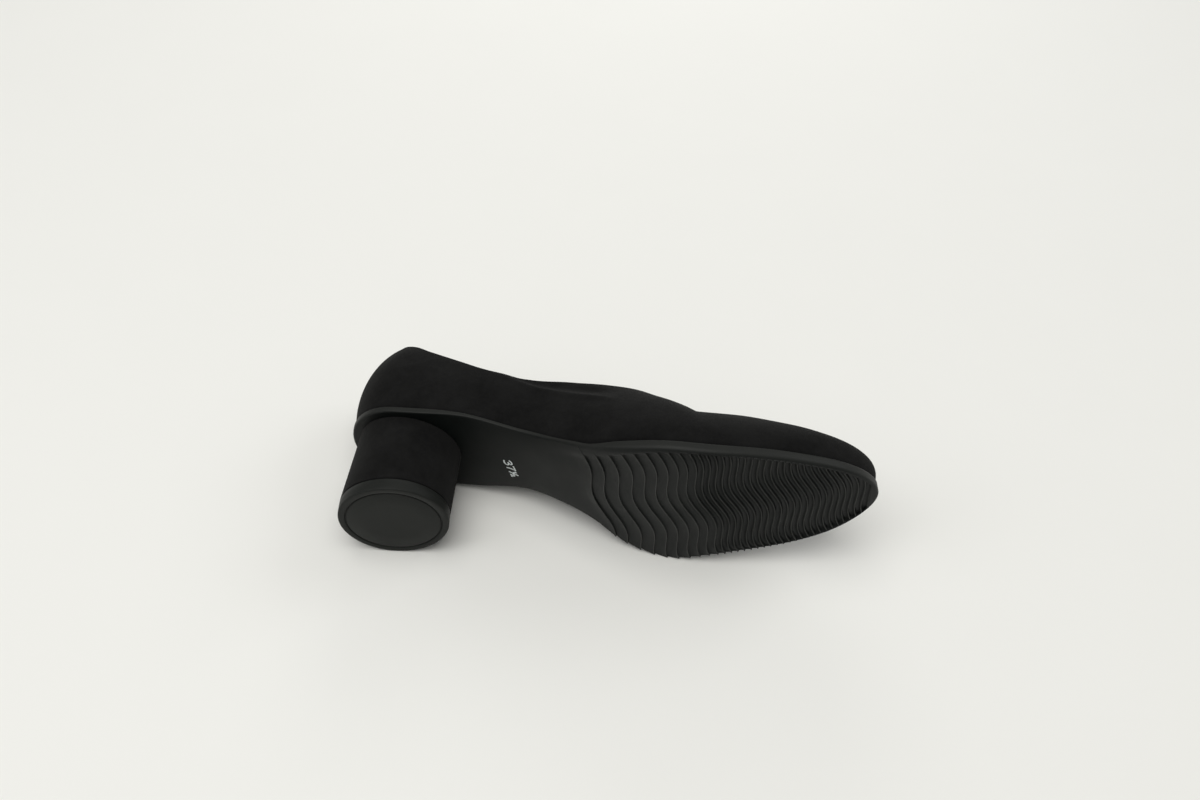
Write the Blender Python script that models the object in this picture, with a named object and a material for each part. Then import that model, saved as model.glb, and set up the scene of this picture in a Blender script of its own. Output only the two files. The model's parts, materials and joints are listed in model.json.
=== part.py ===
"""A right court shoe with a round block heel, lying on its inner side.

Every piece is drawn in the shoe's own frame: x runs from the back of the heel to the toe, y to the
inner side and z up from the ground that the shoe would stand on. An empty then turns the whole shoe
onto its inner side, the way it comes to rest on a floor.
"""

import math

import bmesh
import bpy
import numpy as np
from mathutils import Matrix, Vector

MM = 0.001

# Driving sizes of the last
SOLE_LENGTH = 247 * MM
BALL_WIDTH = 86 * MM
HEEL_LIFT = 47.5 * MM
TOE_SPRING = 7.0 * MM
COUNTER_RISE = 48 * MM
INSTEP_RISE = 45 * MM

# Unit sole
SEAT_THICKNESS = 3.0 * MM
FOREFOOT_THICKNESS = 5.3 * MM
TREAD_DEPTH = 1.2 * MM
TREAD_PITCH = 3.12 * MM
TOOTH_FACE = 1.4 * MM
WAVE_HEIGHT = 2.4 * MM
WAVE_LENGTH = 45 * MM
EDGE_ROUNDING = 0.9 * MM
SHOULDER_WIDTH = 3.2 * MM
SHOULDER_RISE = 1.1 * MM
SHOULDER_FADE = 0.35
HEEL_ROUND = 26 * MM
HEEL_FULLNESS = 2.2
TOE_ROUND_SHARE = 0.80
TOE_FULLNESS = 2.4
TOE_CLOSING = 1 / 1.9
WALL_SWELL_LEVEL = 0.45

# Heel and top piece
HEEL_RADIUS = 25.5 * MM
HEEL_NECK_LENGTH = 48.8 * MM
HEEL_NECK_WIDTH = 46.0 * MM
HEEL_PLACE = 25.0 * MM
HEEL_PITCH = 3.5 * MM
HEEL_OFFSET = -0.85 * MM
TOP_PIECE_HEIGHT = 6.0 * MM
TOP_PIECE_ROUNDING = 0.9 * MM
RING_RADIUS = 22.0 * MM
RING_WIDTH = 0.9 * MM
RING_DEPTH = 0.7 * MM

# Upper and insole
WALL = 1.8 * MM
FEATHER_INSET = 1.0 * MM
INSIDE_LEAN = 1.2
LASTING_MARGIN = 7.0 * MM
INSOLE_THICKNESS = 2.0 * MM
SEAT_GAP = 0.3 * MM

# How finely the round and curved forms are cut
ROUND_STEPS = 40
QUARTER_STEPS = 26
VAMP_STEPS = 12
WALL_STEPS = 8
TREAD_COLUMNS = 17
SEAT_STEPS = 9
SHANK_STEPS = 12
TIP_STEPS = 5
HEEL_LEVELS = (0.02, 0.35, 0.70, 1.00)

# Sole, a row for each section from heel to toe. outer and inner are shares of half the ball width,
# heel and toe shares of the heel lift and of the toe spring, and thick goes from 0, the seat's
# thickness, to 1, the forefoot's.
SOLE = (
    ("share", "outer", "inner", "heel", "toe", "thick"),
    (
        (0.00, 0.61, 0.62, 1.000, 0.00, 0.00),
        (0.10, 0.63, 0.63, 0.924, 0.00, 0.00),
        (0.23, 0.64, 0.63, 0.812, 0.00, 0.00),
        (0.35, 0.56, 0.49, 0.630, 0.00, 0.00),
        (0.45, 0.74, 0.53, 0.340, 0.00, 0.10),
        (0.53, 0.94, 0.82, 0.157, 0.00, 0.80),
        (0.61, 1.05, 0.97, 0.050, 0.05, 1.00),
        (0.69, 1.02, 0.88, 0.000, 0.12, 1.00),
        (0.78, 0.90, 0.80, 0.000, 0.25, 1.00),
        (0.86, 0.77, 0.70, 0.000, 0.38, 1.00),
        (0.93, 0.68, 0.64, 0.000, 0.62, 1.00),
        (1.00, 0.58, 0.57, 0.000, 1.00, 1.00),
    ),
)

# The upper's top line from the back of the heel to the throat, then the ridge of the vamp to the
# pole behind the toe. share is the section's place on the sole, along a share of the sole length,
# outer and inner shares of half the ball width, counter and instep shares of those two rises.
TOP_LINE = (
    ("share", "along", "outer", "inner", "counter", "instep"),
    (
        (0.000, 0.061, 0.000, 0.000, 1.00, 0.000),
        (0.012, 0.068, 0.170, 0.170, 0.99, 0.000),
        (0.040, 0.085, 0.310, 0.310, 0.98, 0.000),
        (0.090, 0.116, 0.425, 0.425, 0.94, 0.000),
        (0.140, 0.152, 0.495, 0.500, 0.84, 0.000),
        (0.200, 0.207, 0.525, 0.535, 0.69, 0.050),
        (0.280, 0.282, 0.550, 0.555, 0.43, 0.230),
        (0.360, 0.360, 0.570, 0.560, 0.20, 0.480),
        (0.440, 0.440, 0.570, 0.555, 0.05, 0.825),
        (0.500, 0.503, 0.555, 0.545, 0.00, 0.975),
        (0.560, 0.568, 0.500, 0.495, 0.00, 1.020),
        (0.605, 0.609, 0.410, 0.410, 0.00, 1.010),
        (0.635, 0.633, 0.300, 0.300, 0.00, 0.985),
        (0.660, 0.648, 0.165, 0.165, 0.00, 0.972),
        (0.680, 0.655, 0.000, 0.000, 0.00, 0.975),
        (0.720, 0.688, 0.000, 0.000, 0.00, 0.955),
        (0.770, 0.737, 0.000, 0.000, 0.00, 0.905),
        (0.820, 0.786, 0.000, 0.000, 0.00, 0.825),
        (0.870, 0.832, 0.000, 0.000, 0.00, 0.735),
        (0.920, 0.875, 0.000, 0.000, 0.00, 0.625),
        (0.960, 0.909, 0.000, 0.000, 0.00, 0.535),
        (1.000, 0.932, 0.000, 0.000, 0.00, 0.455),
    ),
)
THROAT_SHARE = 0.68
THROAT_EDGE = (-1.0, 0.0, 0.3)
RIM_ROUNDING = 0.3

# The upper's wall. foot_outer and foot_inner are its outward lean at the sole and head its inward
# lean at the top, in degrees from upright, and the two holds say how long it keeps each lean, as
# shares of the section's height. Both sides meet at the first and last rows, so their leans agree there.
WALL_FORM = (
    ("share", "foot_outer", "foot_inner", "head", "hold_foot", "hold_head"),
    (
        (0.00, 9, 9, 43, 0.42, 0.30),
        (0.06, 9, 20, 36, 0.40, 0.30),
        (0.15, 8, 20, 22, 0.36, 0.34),
        (0.28, 9, 18, 20, 0.34, 0.36),
        (0.40, 10, 26, 30, 0.34, 0.38),
        (0.50, 8, 26, 38, 0.32, 0.36),
        (0.58, 8, 21, 55, 0.32, 0.34),
        (0.64, 9, 21, 78, 0.31, 0.32),
        (0.68, 10, 18, 90, 0.30, 0.32),
        (0.80, 12, 13, 90, 0.31, 0.37),
        (0.92, 17, 17, 90, 0.39, 0.46),
        (1.00, 24, 24, 90, 0.46, 0.48),
    ),
)

# Pitch of the tread's teeth against TREAD_PITCH. share is the tooth's number from the waist.
TOOTH_PITCH = (
    ("share", "pitch"),
    (
        (1, 2.05),
        (2, 2.28),
        (4, 1.94),
        (6, 1.76),
        (8, 1.45),
        (9, 1.34),
        (10, 1.05),
        (12, 1.00),
        (14, 1.00),
        (60, 1.00),
    ),
)
FIRST_TOOTH_SHARE = 0.477
LAST_TOOTH_SHARE = 0.985
WAVE_SLOPE = 0.19
WAVE_DRIFT = 0.31
WAVE_START = 0.10
WAVE_REFERENCE_SHARE = 0.607
WAVE_FADE_SHARE = 0.13
SHANK_RISE_START = 0.80
SHANK_RISE_LENGTH = 0.16
EDGE_TRIES = 60
EDGE_STEP = 0.4

# Densities in kg per cubic metre; the insole board includes its stiffening
DENSITIES = {"outsole": 1150, "heel": 700, "top_piece": 1150, "upper": 950, "insole": 1500}

MATERIALS = {
    "outsole": ("moulded rubber", (0.030, 0.031, 0.029), 0.48),
    "heel": ("suede heel cover", (0.012, 0.011, 0.010), 0.95),
    "top_piece": ("rubber top piece", (0.032, 0.032, 0.030), 0.55),
    "upper": ("black suede", (0.012, 0.011, 0.010), 0.95),
    "insole": ("insole leather", (0.020, 0.019, 0.018), 0.70),
}

OUTER_SIDE = -1
INNER_SIDE = 1
SIDE_NAMES = {OUTER_SIDE: "outer", INNER_SIDE: "inner"}


def column(table, name):
    """One named column of a table."""
    names, rows = table
    place = names.index(name)
    return np.array([row[place] for row in rows], dtype=float)


def follow(table, name, at):
    """Smooth curve through a table's named column, read at the given shares."""
    knots = column(table, "share")
    values = column(table, name)
    slopes = np.gradient(values, knots)
    at = np.clip(np.asarray(at, dtype=float), knots[0], knots[-1])
    low = np.clip(np.searchsorted(knots, at, side="right") - 1, 0, len(knots) - 2)
    span = knots[low + 1] - knots[low]
    t = (at - knots[low]) / span
    start = values[low] * (2 * t**3 - 3 * t**2 + 1) + slopes[low] * span * (t**3 - 2 * t**2 + t)
    end = values[low + 1] * (3 * t**2 - 2 * t**3) + slopes[low + 1] * span * (t**3 - t**2)
    return start + end


def ease(value):
    """Soft step from 0 to 1."""
    value = np.clip(value, 0.0, 1.0)
    return value * value * (3 - 2 * value)


def half_width(share, side):
    """Half width of the sole, with its round heel and toe."""
    share = np.clip(np.asarray(share, dtype=float), 0.0, 1.0)
    width = follow(SOLE, SIDE_NAMES[side], share) * BALL_WIDTH / 2
    heel = np.clip(1 - share * SOLE_LENGTH / HEEL_ROUND, 0, 1)
    toe = np.clip((share - TOE_ROUND_SHARE) / (1 - TOE_ROUND_SHARE), 0, 1)
    return width * np.sqrt(1 - heel**HEEL_FULLNESS) * (1 - toe**TOE_FULLNESS) ** TOE_CLOSING


def underside(x):
    """Height of the sole's lower face above the ground."""
    share = np.asarray(x) / SOLE_LENGTH
    return follow(SOLE, "heel", share) * HEEL_LIFT + follow(SOLE, "toe", share) * TOE_SPRING


def thickness(x):
    """Thickness of the unit sole."""
    grow = follow(SOLE, "thick", np.asarray(x) / SOLE_LENGTH)
    return SEAT_THICKNESS + grow * (FOREFOOT_THICKNESS - SEAT_THICKNESS)


def sole_top(x):
    """Height of the face that the upper sits on."""
    return underside(x) + thickness(x)


def turn_of(share):
    """Angle round the outline, 0 at the heel and pi at the toe, of a share of the length."""
    return np.arccos(1 - 2 * np.clip(share, 0, 1))


def outline(turn, side, inset=0.0):
    """Points of the sole's outline in plan, moved inwards by the inset, and their outward normals."""
    turn = np.asarray(turn, dtype=float)

    def place(angle):
        share = (1 - np.cos(angle)) / 2
        return share * SOLE_LENGTH, side * half_width(share, side)

    step = 1e-3
    x, y = place(turn)
    x_after, y_after = place(np.minimum(turn + step, math.pi))
    x_before, y_before = place(np.maximum(turn - step, 0))
    along_x = x_after - x_before
    along_y = y_after - y_before
    size = np.hypot(along_x, along_y)
    normal_x = -side * along_y / size
    normal_y = side * along_x / size
    at_end = (turn < step) | (turn > math.pi - step)
    normal_x = np.where(at_end, np.where(turn > 1, 1.0, -1.0), normal_x)
    normal_y = np.where(at_end, 0.0, normal_y)
    return x - inset * normal_x, y - inset * normal_y, normal_x, normal_y


class Builder:
    """Collects faces given by their corners and welds corners that meet."""

    def __init__(self):
        self.points = []
        self.faces = []
        self.known = {}

    def corner(self, point):
        key = tuple(round(float(value) * 1e7) for value in point)
        if key not in self.known:
            self.known[key] = len(self.points)
            self.points.append(tuple(float(value) for value in point))
        return self.known[key]

    def face(self, *corners):
        loop = []
        for corner in corners:
            number = self.corner(corner)
            if number not in loop:
                loop.append(number)
        if len(loop) > 2:
            self.faces.append(loop)

    def strip(self, first, second, closed=False):
        """Faces between two rows of points."""
        count = len(first)
        for k in range(count if closed else count - 1):
            n = (k + 1) % count
            self.face(first[k], first[n], second[n], second[k])

    def make(self, name, parent):
        """The closed mesh, facing out, as an object."""
        mesh = bpy.data.meshes.new(name)
        mesh.from_pydata(self.points, [], self.faces)
        form = bmesh.new()
        form.from_mesh(mesh)
        bmesh.ops.triangulate(form, faces=form.faces)
        bmesh.ops.recalc_face_normals(form, faces=form.faces)
        if form.calc_volume(signed=True) < 0:
            bmesh.ops.reverse_faces(form, faces=form.faces)
        form.to_mesh(mesh)
        form.free()
        mesh.shade_smooth()
        mesh.set_sharp_from_angle(angle=math.radians(35))
        piece = bpy.data.objects.new(name, mesh)
        bpy.context.collection.objects.link(piece)
        piece.parent = parent
        mesh.materials.append(material(*MATERIALS[name]))
        return piece


def material(name, colour, roughness):
    """Plain surface with the piece's own colour and roughness."""
    surface = bpy.data.materials.new(name)
    surface.use_nodes = True
    shader = surface.node_tree.nodes["Principled BSDF"]
    shader.inputs["Base Color"].default_value = (*colour, 1.0)
    shader.inputs["Roughness"].default_value = roughness
    shader.inputs["Metallic"].default_value = 0.0
    return surface


def tooth_places():
    """Where each tooth of the tread crosses the sole's middle line."""
    places = []
    x = FIRST_TOOTH_SHARE * SOLE_LENGTH
    while x < LAST_TOOTH_SHARE * SOLE_LENGTH:
        places.append(x)
        x += float(follow(TOOTH_PITCH, "pitch", len(places))) * TREAD_PITCH
    return places


def wave(middle, y):
    """x of the tread line that crosses the middle line at the given place."""
    share = middle / SOLE_LENGTH
    behind = ease((share - (FIRST_TOOTH_SHARE - WAVE_FADE_SHARE)) / WAVE_FADE_SHARE)
    ahead = ease((1 - share) / (1 - LAST_TOOTH_SHARE) / 2)
    drift = WAVE_DRIFT * (middle - WAVE_REFERENCE_SHARE * SOLE_LENGTH)
    phase = 2 * math.pi * ((y + drift) / WAVE_LENGTH - WAVE_START)
    return middle + behind * ahead * (WAVE_SLOPE * y + WAVE_HEIGHT * np.sin(phase))


def wave_end(middle, side):
    """Angle round the outline where a tread line reaches the sole's edge."""
    turn = float(turn_of(middle / SOLE_LENGTH))
    for _ in range(EDGE_TRIES):
        y = side * float(half_width((1 - math.cos(turn)) / 2, side))
        share = float(wave(middle, y)) / SOLE_LENGTH
        turn += EDGE_STEP * (float(turn_of(share)) - turn)
    return turn


def sole_lines():
    """Places of the sole's cross lines on its middle line, each with its share of the tooth depth."""
    first = FIRST_TOOTH_SHARE * SOLE_LENGTH
    lines = []
    for turn in np.linspace(0, math.pi / 2, SEAT_STEPS + 1):
        lines.append((HEEL_ROUND * (1 - math.cos(turn)), 0.0))
    for x in np.linspace(HEEL_ROUND, first - 2 * TREAD_PITCH, SHANK_STEPS + 1)[1:]:
        rise = ease((x / first - SHANK_RISE_START) / SHANK_RISE_LENGTH)
        lines.append((float(x), float(rise)))
    places = tooth_places()
    for place in places:
        lines.append((place, 0.0))
        lines.append((place + TOOTH_FACE, 1.0))
    tip = places[-1] + TREAD_PITCH
    for step in range(TIP_STEPS + 1):
        turn = math.pi / 2 * step / TIP_STEPS
        lines.append((tip + (SOLE_LENGTH - tip) * math.sin(turn), 0.0))
    return lines


def cross_line(middle, left, right, shares):
    """Points of a tread line between its two ends on the sole's edge, at the given shares."""
    slips = [end[0] - float(wave(middle, end[1])) for end in (left, right)]
    points = []
    for share in shares:
        y = left[1] + (right[1] - left[1]) * share
        x = float(wave(middle, y)) + slips[0] + (slips[1] - slips[0]) * share
        points.append((x, float(y)))
    return points


def edge_point(turn, side, inset):
    """Point in plan on one side of the sole, moved inwards by the inset."""
    x, y = outline(turn, side, inset)[:2]
    return float(x), float(y)


def wall_point(end, level):
    """Point on the unit sole's side wall at a share of its thickness."""
    return (end[0], end[1], float(underside(end[0]) + level * thickness(end[0])))


def make_outsole(parent):
    """Unit sole: a ring of points at each cross line, wavy and toothed under the forefoot.

    The teeth end at a smooth shoulder on the outer edge, which runs out at the heel and at the toe.
    """
    rings = []
    for middle, depth in sole_lines():
        outer = wave_end(middle, OUTER_SIDE)
        inner = wave_end(middle, INNER_SIDE)
        shoulder = float(ease(math.sin(outer) / SHOULDER_FADE))
        reach = EDGE_ROUNDING + (SHOULDER_WIDTH - EDGE_ROUNDING) * shoulder
        corners = [edge_point(outer, OUTER_SIDE, reach), edge_point(inner, INNER_SIDE, EDGE_ROUNDING)]
        walls = [edge_point(outer, OUTER_SIDE, 0.0), edge_point(inner, INNER_SIDE, 0.0)]
        tops = [
            edge_point(outer, OUTER_SIDE, EDGE_ROUNDING / 3),
            edge_point(inner, INNER_SIDE, EDGE_ROUNDING / 3),
        ]
        ring = []
        for x, y in cross_line(middle, *corners, np.linspace(0, 1, TREAD_COLUMNS)):
            ring.append((x, y, float(underside(x)) + depth * TREAD_DEPTH))
        ring.append(wall_point(walls[1], WALL_SWELL_LEVEL))
        ring.append(wall_point(tops[1], 1.0))
        for x, y in cross_line(middle, *tops, (0.75, 0.5, 0.25)):
            ring.append((x, y, float(sole_top(x))))
        ring.append(wall_point(tops[0], 1.0))
        ring.append(wall_point(walls[0], WALL_SWELL_LEVEL))
        x, y = edge_point(outer, OUTER_SIDE, EDGE_ROUNDING)
        ring.append((x, y, float(underside(x)) + SHOULDER_RISE * shoulder))
        rings.append(ring)
    form = Builder()
    for first, second in zip(rings, rings[1:]):
        form.strip(first, second, closed=True)
    return form.make("outsole", parent)


def ring_at(radius, place, height):
    """Points round a level circle of the heel."""
    ring = []
    for k in range(ROUND_STEPS):
        angle = 2 * math.pi * k / ROUND_STEPS
        ring.append((place + radius * math.cos(angle), HEEL_OFFSET + radius * math.sin(angle), height))
    return ring


def close_ring(form, ring):
    """Fills a ring with strips between its points on one side and the other."""
    for k in range(ROUND_STEPS // 2):
        form.face(ring[k], ring[k + 1], ring[-k - 1], ring[-k % ROUND_STEPS])


def heel_ring(share):
    """Ring of the heel at a share of its height, from the top piece to the seat."""
    ring = []
    low = TOP_PIECE_HEIGHT + SEAT_GAP
    for k in range(ROUND_STEPS):
        angle = 2 * math.pi * k / ROUND_STEPS
        reach = HEEL_RADIUS + (HEEL_NECK_LENGTH / 2 - HEEL_RADIUS) * share
        spread = HEEL_RADIUS + (HEEL_NECK_WIDTH / 2 - HEEL_RADIUS) * share
        x = HEEL_PLACE + HEEL_PITCH * share + reach * math.cos(angle)
        z = low + (float(underside(x)) - SEAT_GAP - low) * share
        ring.append((x, HEEL_OFFSET + spread * math.sin(angle), z))
    return ring


def make_heel(parent):
    """Round block, narrower and slightly oval at the seat, its top cut to the slope of the sole."""
    rings = [ring_at(HEEL_RADIUS - EDGE_ROUNDING / 2, HEEL_PLACE, TOP_PIECE_HEIGHT + SEAT_GAP)]
    rings += [heel_ring(share) for share in HEEL_LEVELS]
    form = Builder()
    for first, second in zip(rings, rings[1:]):
        form.strip(first, second, closed=True)
    close_ring(form, rings[0])
    close_ring(form, rings[-1])
    return form.make("heel", parent)


def make_top_piece(parent):
    """Rubber disc with a rounded lower edge and a ring groove in its ground face."""
    corner = TOP_PIECE_ROUNDING
    profile = (
        (HEEL_RADIUS, TOP_PIECE_HEIGHT),
        (HEEL_RADIUS, corner),
        (HEEL_RADIUS - 0.3 * corner, 0.3 * corner),
        (HEEL_RADIUS - corner, 0.0),
        (RING_RADIUS + RING_WIDTH / 2, 0.0),
        (RING_RADIUS + RING_WIDTH / 4, RING_DEPTH),
        (RING_RADIUS - RING_WIDTH / 4, RING_DEPTH),
        (RING_RADIUS - RING_WIDTH / 2, 0.0),
    )
    rings = [ring_at(radius, HEEL_PLACE, height) for radius, height in profile]
    form = Builder()
    for first, second in zip(rings, rings[1:]):
        form.strip(first, second, closed=True)
    close_ring(form, rings[0])
    close_ring(form, rings[-1])
    return form.make("top_piece", parent)


def inside_inset():
    """Distance from the sole's edge to the foot of the upper's inner face, whose wall leans there."""
    return FEATHER_INSET + INSIDE_LEAN * WALL


def section_turns():
    """Angles round the outline of the upper's sections; one of them meets the throat."""
    throat = float(turn_of(THROAT_SHARE))
    quarters = np.linspace(0, throat, QUARTER_STEPS + 1)
    vamp = np.linspace(throat, math.pi, VAMP_STEPS + 1)
    return np.concatenate([quarters, vamp[1:]])


def top_points(share, side):
    """Points of the top line and of the vamp's ridge."""
    x = follow(TOP_LINE, "along", share) * SOLE_LENGTH
    y = side * follow(TOP_LINE, SIDE_NAMES[side], share) * BALL_WIDTH / 2
    y[QUARTER_STEPS:] = 0.0
    y[0] = 0.0
    rise = follow(TOP_LINE, "counter", share) * COUNTER_RISE
    rise = rise + follow(TOP_LINE, "instep", share) * INSTEP_RISE
    z = sole_top(share * SOLE_LENGTH) + rise
    return np.stack([x, y, z], axis=1)


def outer_surface(side):
    """Grid of the upper's outer face on one side, from the sole's edge to the top line or ridge."""
    turns = section_turns()
    share = (1 - np.cos(turns)) / 2
    x, y, normal_x, normal_y = outline(turns, side, FEATHER_INSET)
    foot = np.stack([x, y, sole_top(x) + SEAT_GAP + EDGE_ROUNDING], axis=1)
    head = top_points(share, side)
    flat = np.stack([normal_x, normal_y, 0 * x], axis=1)
    up = np.array([0.0, 0.0, 1.0])
    ridge = np.gradient(head, axis=0)
    ridge[:QUARTER_STEPS] = (1.0, 0.0, 0.0)
    ridge[:, 1] = 0.0
    ridge = ridge / np.linalg.norm(ridge, axis=1)[:, None]
    out_head = normal_x[:, None] * ridge
    out_head[:, 1] = normal_y
    lean_foot = np.radians(follow(WALL_FORM, "foot_" + SIDE_NAMES[side], share))[:, None]
    lean_head = np.radians(follow(WALL_FORM, "head", share))[:, None]
    lean_head[QUARTER_STEPS:] = math.pi / 2
    reach = np.linalg.norm(head - foot, axis=1)[:, None]
    hold_foot = follow(WALL_FORM, "hold_foot", share)[:, None] * reach
    hold_head = follow(WALL_FORM, "hold_head", share)[:, None] * reach
    foot_pull = foot + hold_foot * (np.cos(lean_foot) * up + np.sin(lean_foot) * flat)
    head_pull = head - hold_head * (np.cos(lean_head) * up - np.sin(lean_head) * out_head)
    rows = []
    for t in np.linspace(0, 1, WALL_STEPS + 1):
        lower = (1 - t) ** 3 * foot + 3 * t * (1 - t) ** 2 * foot_pull
        upper = 3 * t * t * (1 - t) * head_pull + t**3 * head
        rows.append(lower + upper)
    return np.stack(rows, axis=1)


def outward(grid, side):
    """Unit normals of a grid of points, pointing out of the shoe."""
    along = np.gradient(grid, axis=0)
    across = np.gradient(grid, axis=1)
    along[0] = (0.0, side, 0.0)
    along[-1, :-1] = (0.0, -side, 0.0)
    across[QUARTER_STEPS:, -1, 0] = 0.0
    across[QUARTER_STEPS:, -1, 1] = -side
    across[QUARTER_STEPS:, -1, 2] = 0.0
    normal = -side * np.cross(along, across)
    normal[0, :, 1] = 0.0
    normal[-1, :, 1] = 0.0
    normal[QUARTER_STEPS:, -1, 1] = 0.0
    return normal / np.linalg.norm(normal, axis=2)[:, :, None]


def on_sole(place, lift):
    """Point in plan, raised to the sole's top face plus the seat gap and the lift."""
    x, y = (float(value) for value in place)
    return np.array([x, y, float(sole_top(x)) + SEAT_GAP + lift])


def make_upper(parent):
    """One hollow wall, lasted under at the sole, open at the collar and underneath."""
    form = Builder()
    turns = section_turns()
    last = len(turns) - 1
    for side in (OUTER_SIDE, INNER_SIDE):
        outer = outer_surface(side)
        inner = outer - WALL * outward(outer, side)
        corner = np.stack(outline(turns, side, FEATHER_INSET + EDGE_ROUNDING)[:2], axis=1)
        inside = np.stack(outline(turns, side, inside_inset())[:2], axis=1)
        margin = np.stack(outline(turns, side, FEATHER_INSET + LASTING_MARGIN)[:2], axis=1)
        sections = []
        for k in range(last + 1):
            rise = outer[k, -1] - outer[k, -2]
            rise = rise / np.linalg.norm(rise)
            if k == QUARTER_STEPS:
                rise = np.array(THROAT_EDGE)
            rim = (outer[k, -1] + inner[k, -1]) / 2 + RIM_ROUNDING * WALL * rise
            inner[k, 0] = on_sole(inside[k], WALL + EDGE_ROUNDING / 2)
            sections.append(
                {
                    "outside": [on_sole(margin[k], 0.0), on_sole(corner[k], 0.0), *outer[k]],
                    "inside": [*inner[k, ::-1], on_sole(inside[k], WALL), on_sole(margin[k], WALL)],
                    "rim": [outer[k, -1], rim, inner[k, -1]],
                }
            )
        for k in range(last):
            here, ahead = sections[k], sections[k + 1]
            form.strip(here["outside"], ahead["outside"])
            form.strip(here["inside"], ahead["inside"])
            form.face(here["inside"][-1], here["outside"][0], ahead["outside"][0], ahead["inside"][-1])
            if k < QUARTER_STEPS:
                form.strip(here["rim"], ahead["rim"])
    return form.make("upper", parent)


def make_insole(parent):
    """Board on the lasting margin, just inside the upper's wall."""
    turns = section_turns()
    inset = inside_inset() + 2 * SEAT_GAP
    low = WALL + SEAT_GAP
    high = low + INSOLE_THICKNESS
    rings = []
    for turn in turns:
        ring = []
        for lift, side in ((low, OUTER_SIDE), (low, INNER_SIDE), (high, INNER_SIDE), (high, OUTER_SIDE)):
            ring.append(on_sole(outline(turn, side, inset)[:2], lift))
        rings.append(ring)
    form = Builder()
    for first, second in zip(rings, rings[1:]):
        form.strip(first, second, closed=True)
    return form.make("insole", parent)


def mass_centre(pieces):
    """Centre of mass in the shoe's frame, from each piece's volume and density."""
    total = 0.0
    moment = np.zeros(3)
    for piece in pieces:
        points = np.array([vertex.co[:] for vertex in piece.data.vertices])
        corners = points[np.array([face.vertices[:] for face in piece.data.polygons])]
        parts = np.einsum("ij,ij->i", corners[:, 0], np.cross(corners[:, 1], corners[:, 2])) / 6
        mass = parts * DENSITIES[piece.name]
        total += mass.sum()
        moment += (corners.sum(axis=1) / 4 * mass[:, None]).sum(axis=0)
    return moment / total


def down_direction(pieces):
    """Direction that points down when the shoe lies on its inner side.

    It is the normal of the face of the convex hull that stays under the centre of mass.
    """
    centre = Vector(mass_centre(pieces)) / MM
    hull = bmesh.new()
    for piece in pieces:
        for vertex in piece.data.vertices:
            hull.verts.new(vertex.co / MM)
    bmesh.ops.convex_hull(hull, input=hull.verts)
    bmesh.ops.triangulate(hull, faces=hull.faces)
    found = []
    for face in hull.faces:
        corners = [vertex.co for vertex in face.verts]
        normal = (corners[1] - corners[0]).cross(corners[2] - corners[0]).normalized()
        height = normal.dot(corners[0] - centre)
        if height < 0:
            normal.negate()
            height = -height
            corners.reverse()
        edges = zip(corners, corners[1:] + corners[:1])
        if normal.y > 0.9 and all((b - a).cross(centre - a).dot(normal) >= 0 for a, b in edges):
            found.append((height, normal.copy()))
    hull.free()
    return min(found, key=lambda row: row[0])[1]


def lay_down(holder, pieces):
    """Turns the shoe onto its inner side, toe towards +X, with its footprint's middle at the origin."""
    down = down_direction(pieces)
    up = -down
    ahead = (Vector((1, 0, 0)) - up * up.x).normalized()
    left = up.cross(ahead)
    turn = Matrix((ahead, left, up))
    points = np.array([(turn @ vertex.co)[:] for piece in pieces for vertex in piece.data.vertices])
    low = points.min(axis=0)
    high = points.max(axis=0)
    holder.matrix_world = turn.to_4x4()
    holder.location = (-(low[0] + high[0]) / 2, -(low[1] + high[1]) / 2, -low[2])


def main():
    for item in list(bpy.data.objects):
        bpy.data.objects.remove(item, do_unlink=True)
    holder = bpy.data.objects.new("shoe", None)
    bpy.context.collection.objects.link(holder)
    makers = (make_outsole, make_heel, make_top_piece, make_upper, make_insole)
    pieces = [make(holder) for make in makers]
    lay_down(holder, pieces)


main()
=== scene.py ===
"""Black suede court shoe with a round block heel, lying on its inner side on a pale floor.

Every piece is drawn in the shoe's own frame: x from the back of the heel to the toe, y to the inner
side and z up from the ground that the shoe would stand on. The heel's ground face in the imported
record tells where that frame lies in the world.
"""

import json
import math

import bmesh
import bpy
import numpy as np
from bpy.props import FloatProperty, FloatVectorProperty, PointerProperty
from mathutils import Matrix, Vector


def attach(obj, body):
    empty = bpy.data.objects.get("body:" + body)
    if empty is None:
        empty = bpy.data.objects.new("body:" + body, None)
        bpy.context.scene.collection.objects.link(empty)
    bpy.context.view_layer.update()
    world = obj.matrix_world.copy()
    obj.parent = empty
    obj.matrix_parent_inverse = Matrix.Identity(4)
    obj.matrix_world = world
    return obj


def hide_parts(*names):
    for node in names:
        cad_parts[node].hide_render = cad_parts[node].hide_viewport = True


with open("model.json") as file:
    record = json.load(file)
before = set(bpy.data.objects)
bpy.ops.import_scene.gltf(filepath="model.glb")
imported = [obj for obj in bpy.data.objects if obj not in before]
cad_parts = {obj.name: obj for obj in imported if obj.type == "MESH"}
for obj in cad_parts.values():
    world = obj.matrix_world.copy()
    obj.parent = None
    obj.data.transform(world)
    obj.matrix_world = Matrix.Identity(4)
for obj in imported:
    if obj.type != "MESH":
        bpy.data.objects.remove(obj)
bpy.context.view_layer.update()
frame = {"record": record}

bl_info = {
    "name": "Suede Court Shoe",
    "version": (1, 0, 0),
    "blender": (4, 5, 0),
    "location": "3D View > Sidebar > Court Shoe",
    "description": "Dresses the packed shoe with suede, rubber and leather and lights it on a floor",
    "category": "Add Mesh",
}

MM = 0.001
BODY = "root"
HEEL_FACE_MOUNT = "heel_ground_face"

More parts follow.
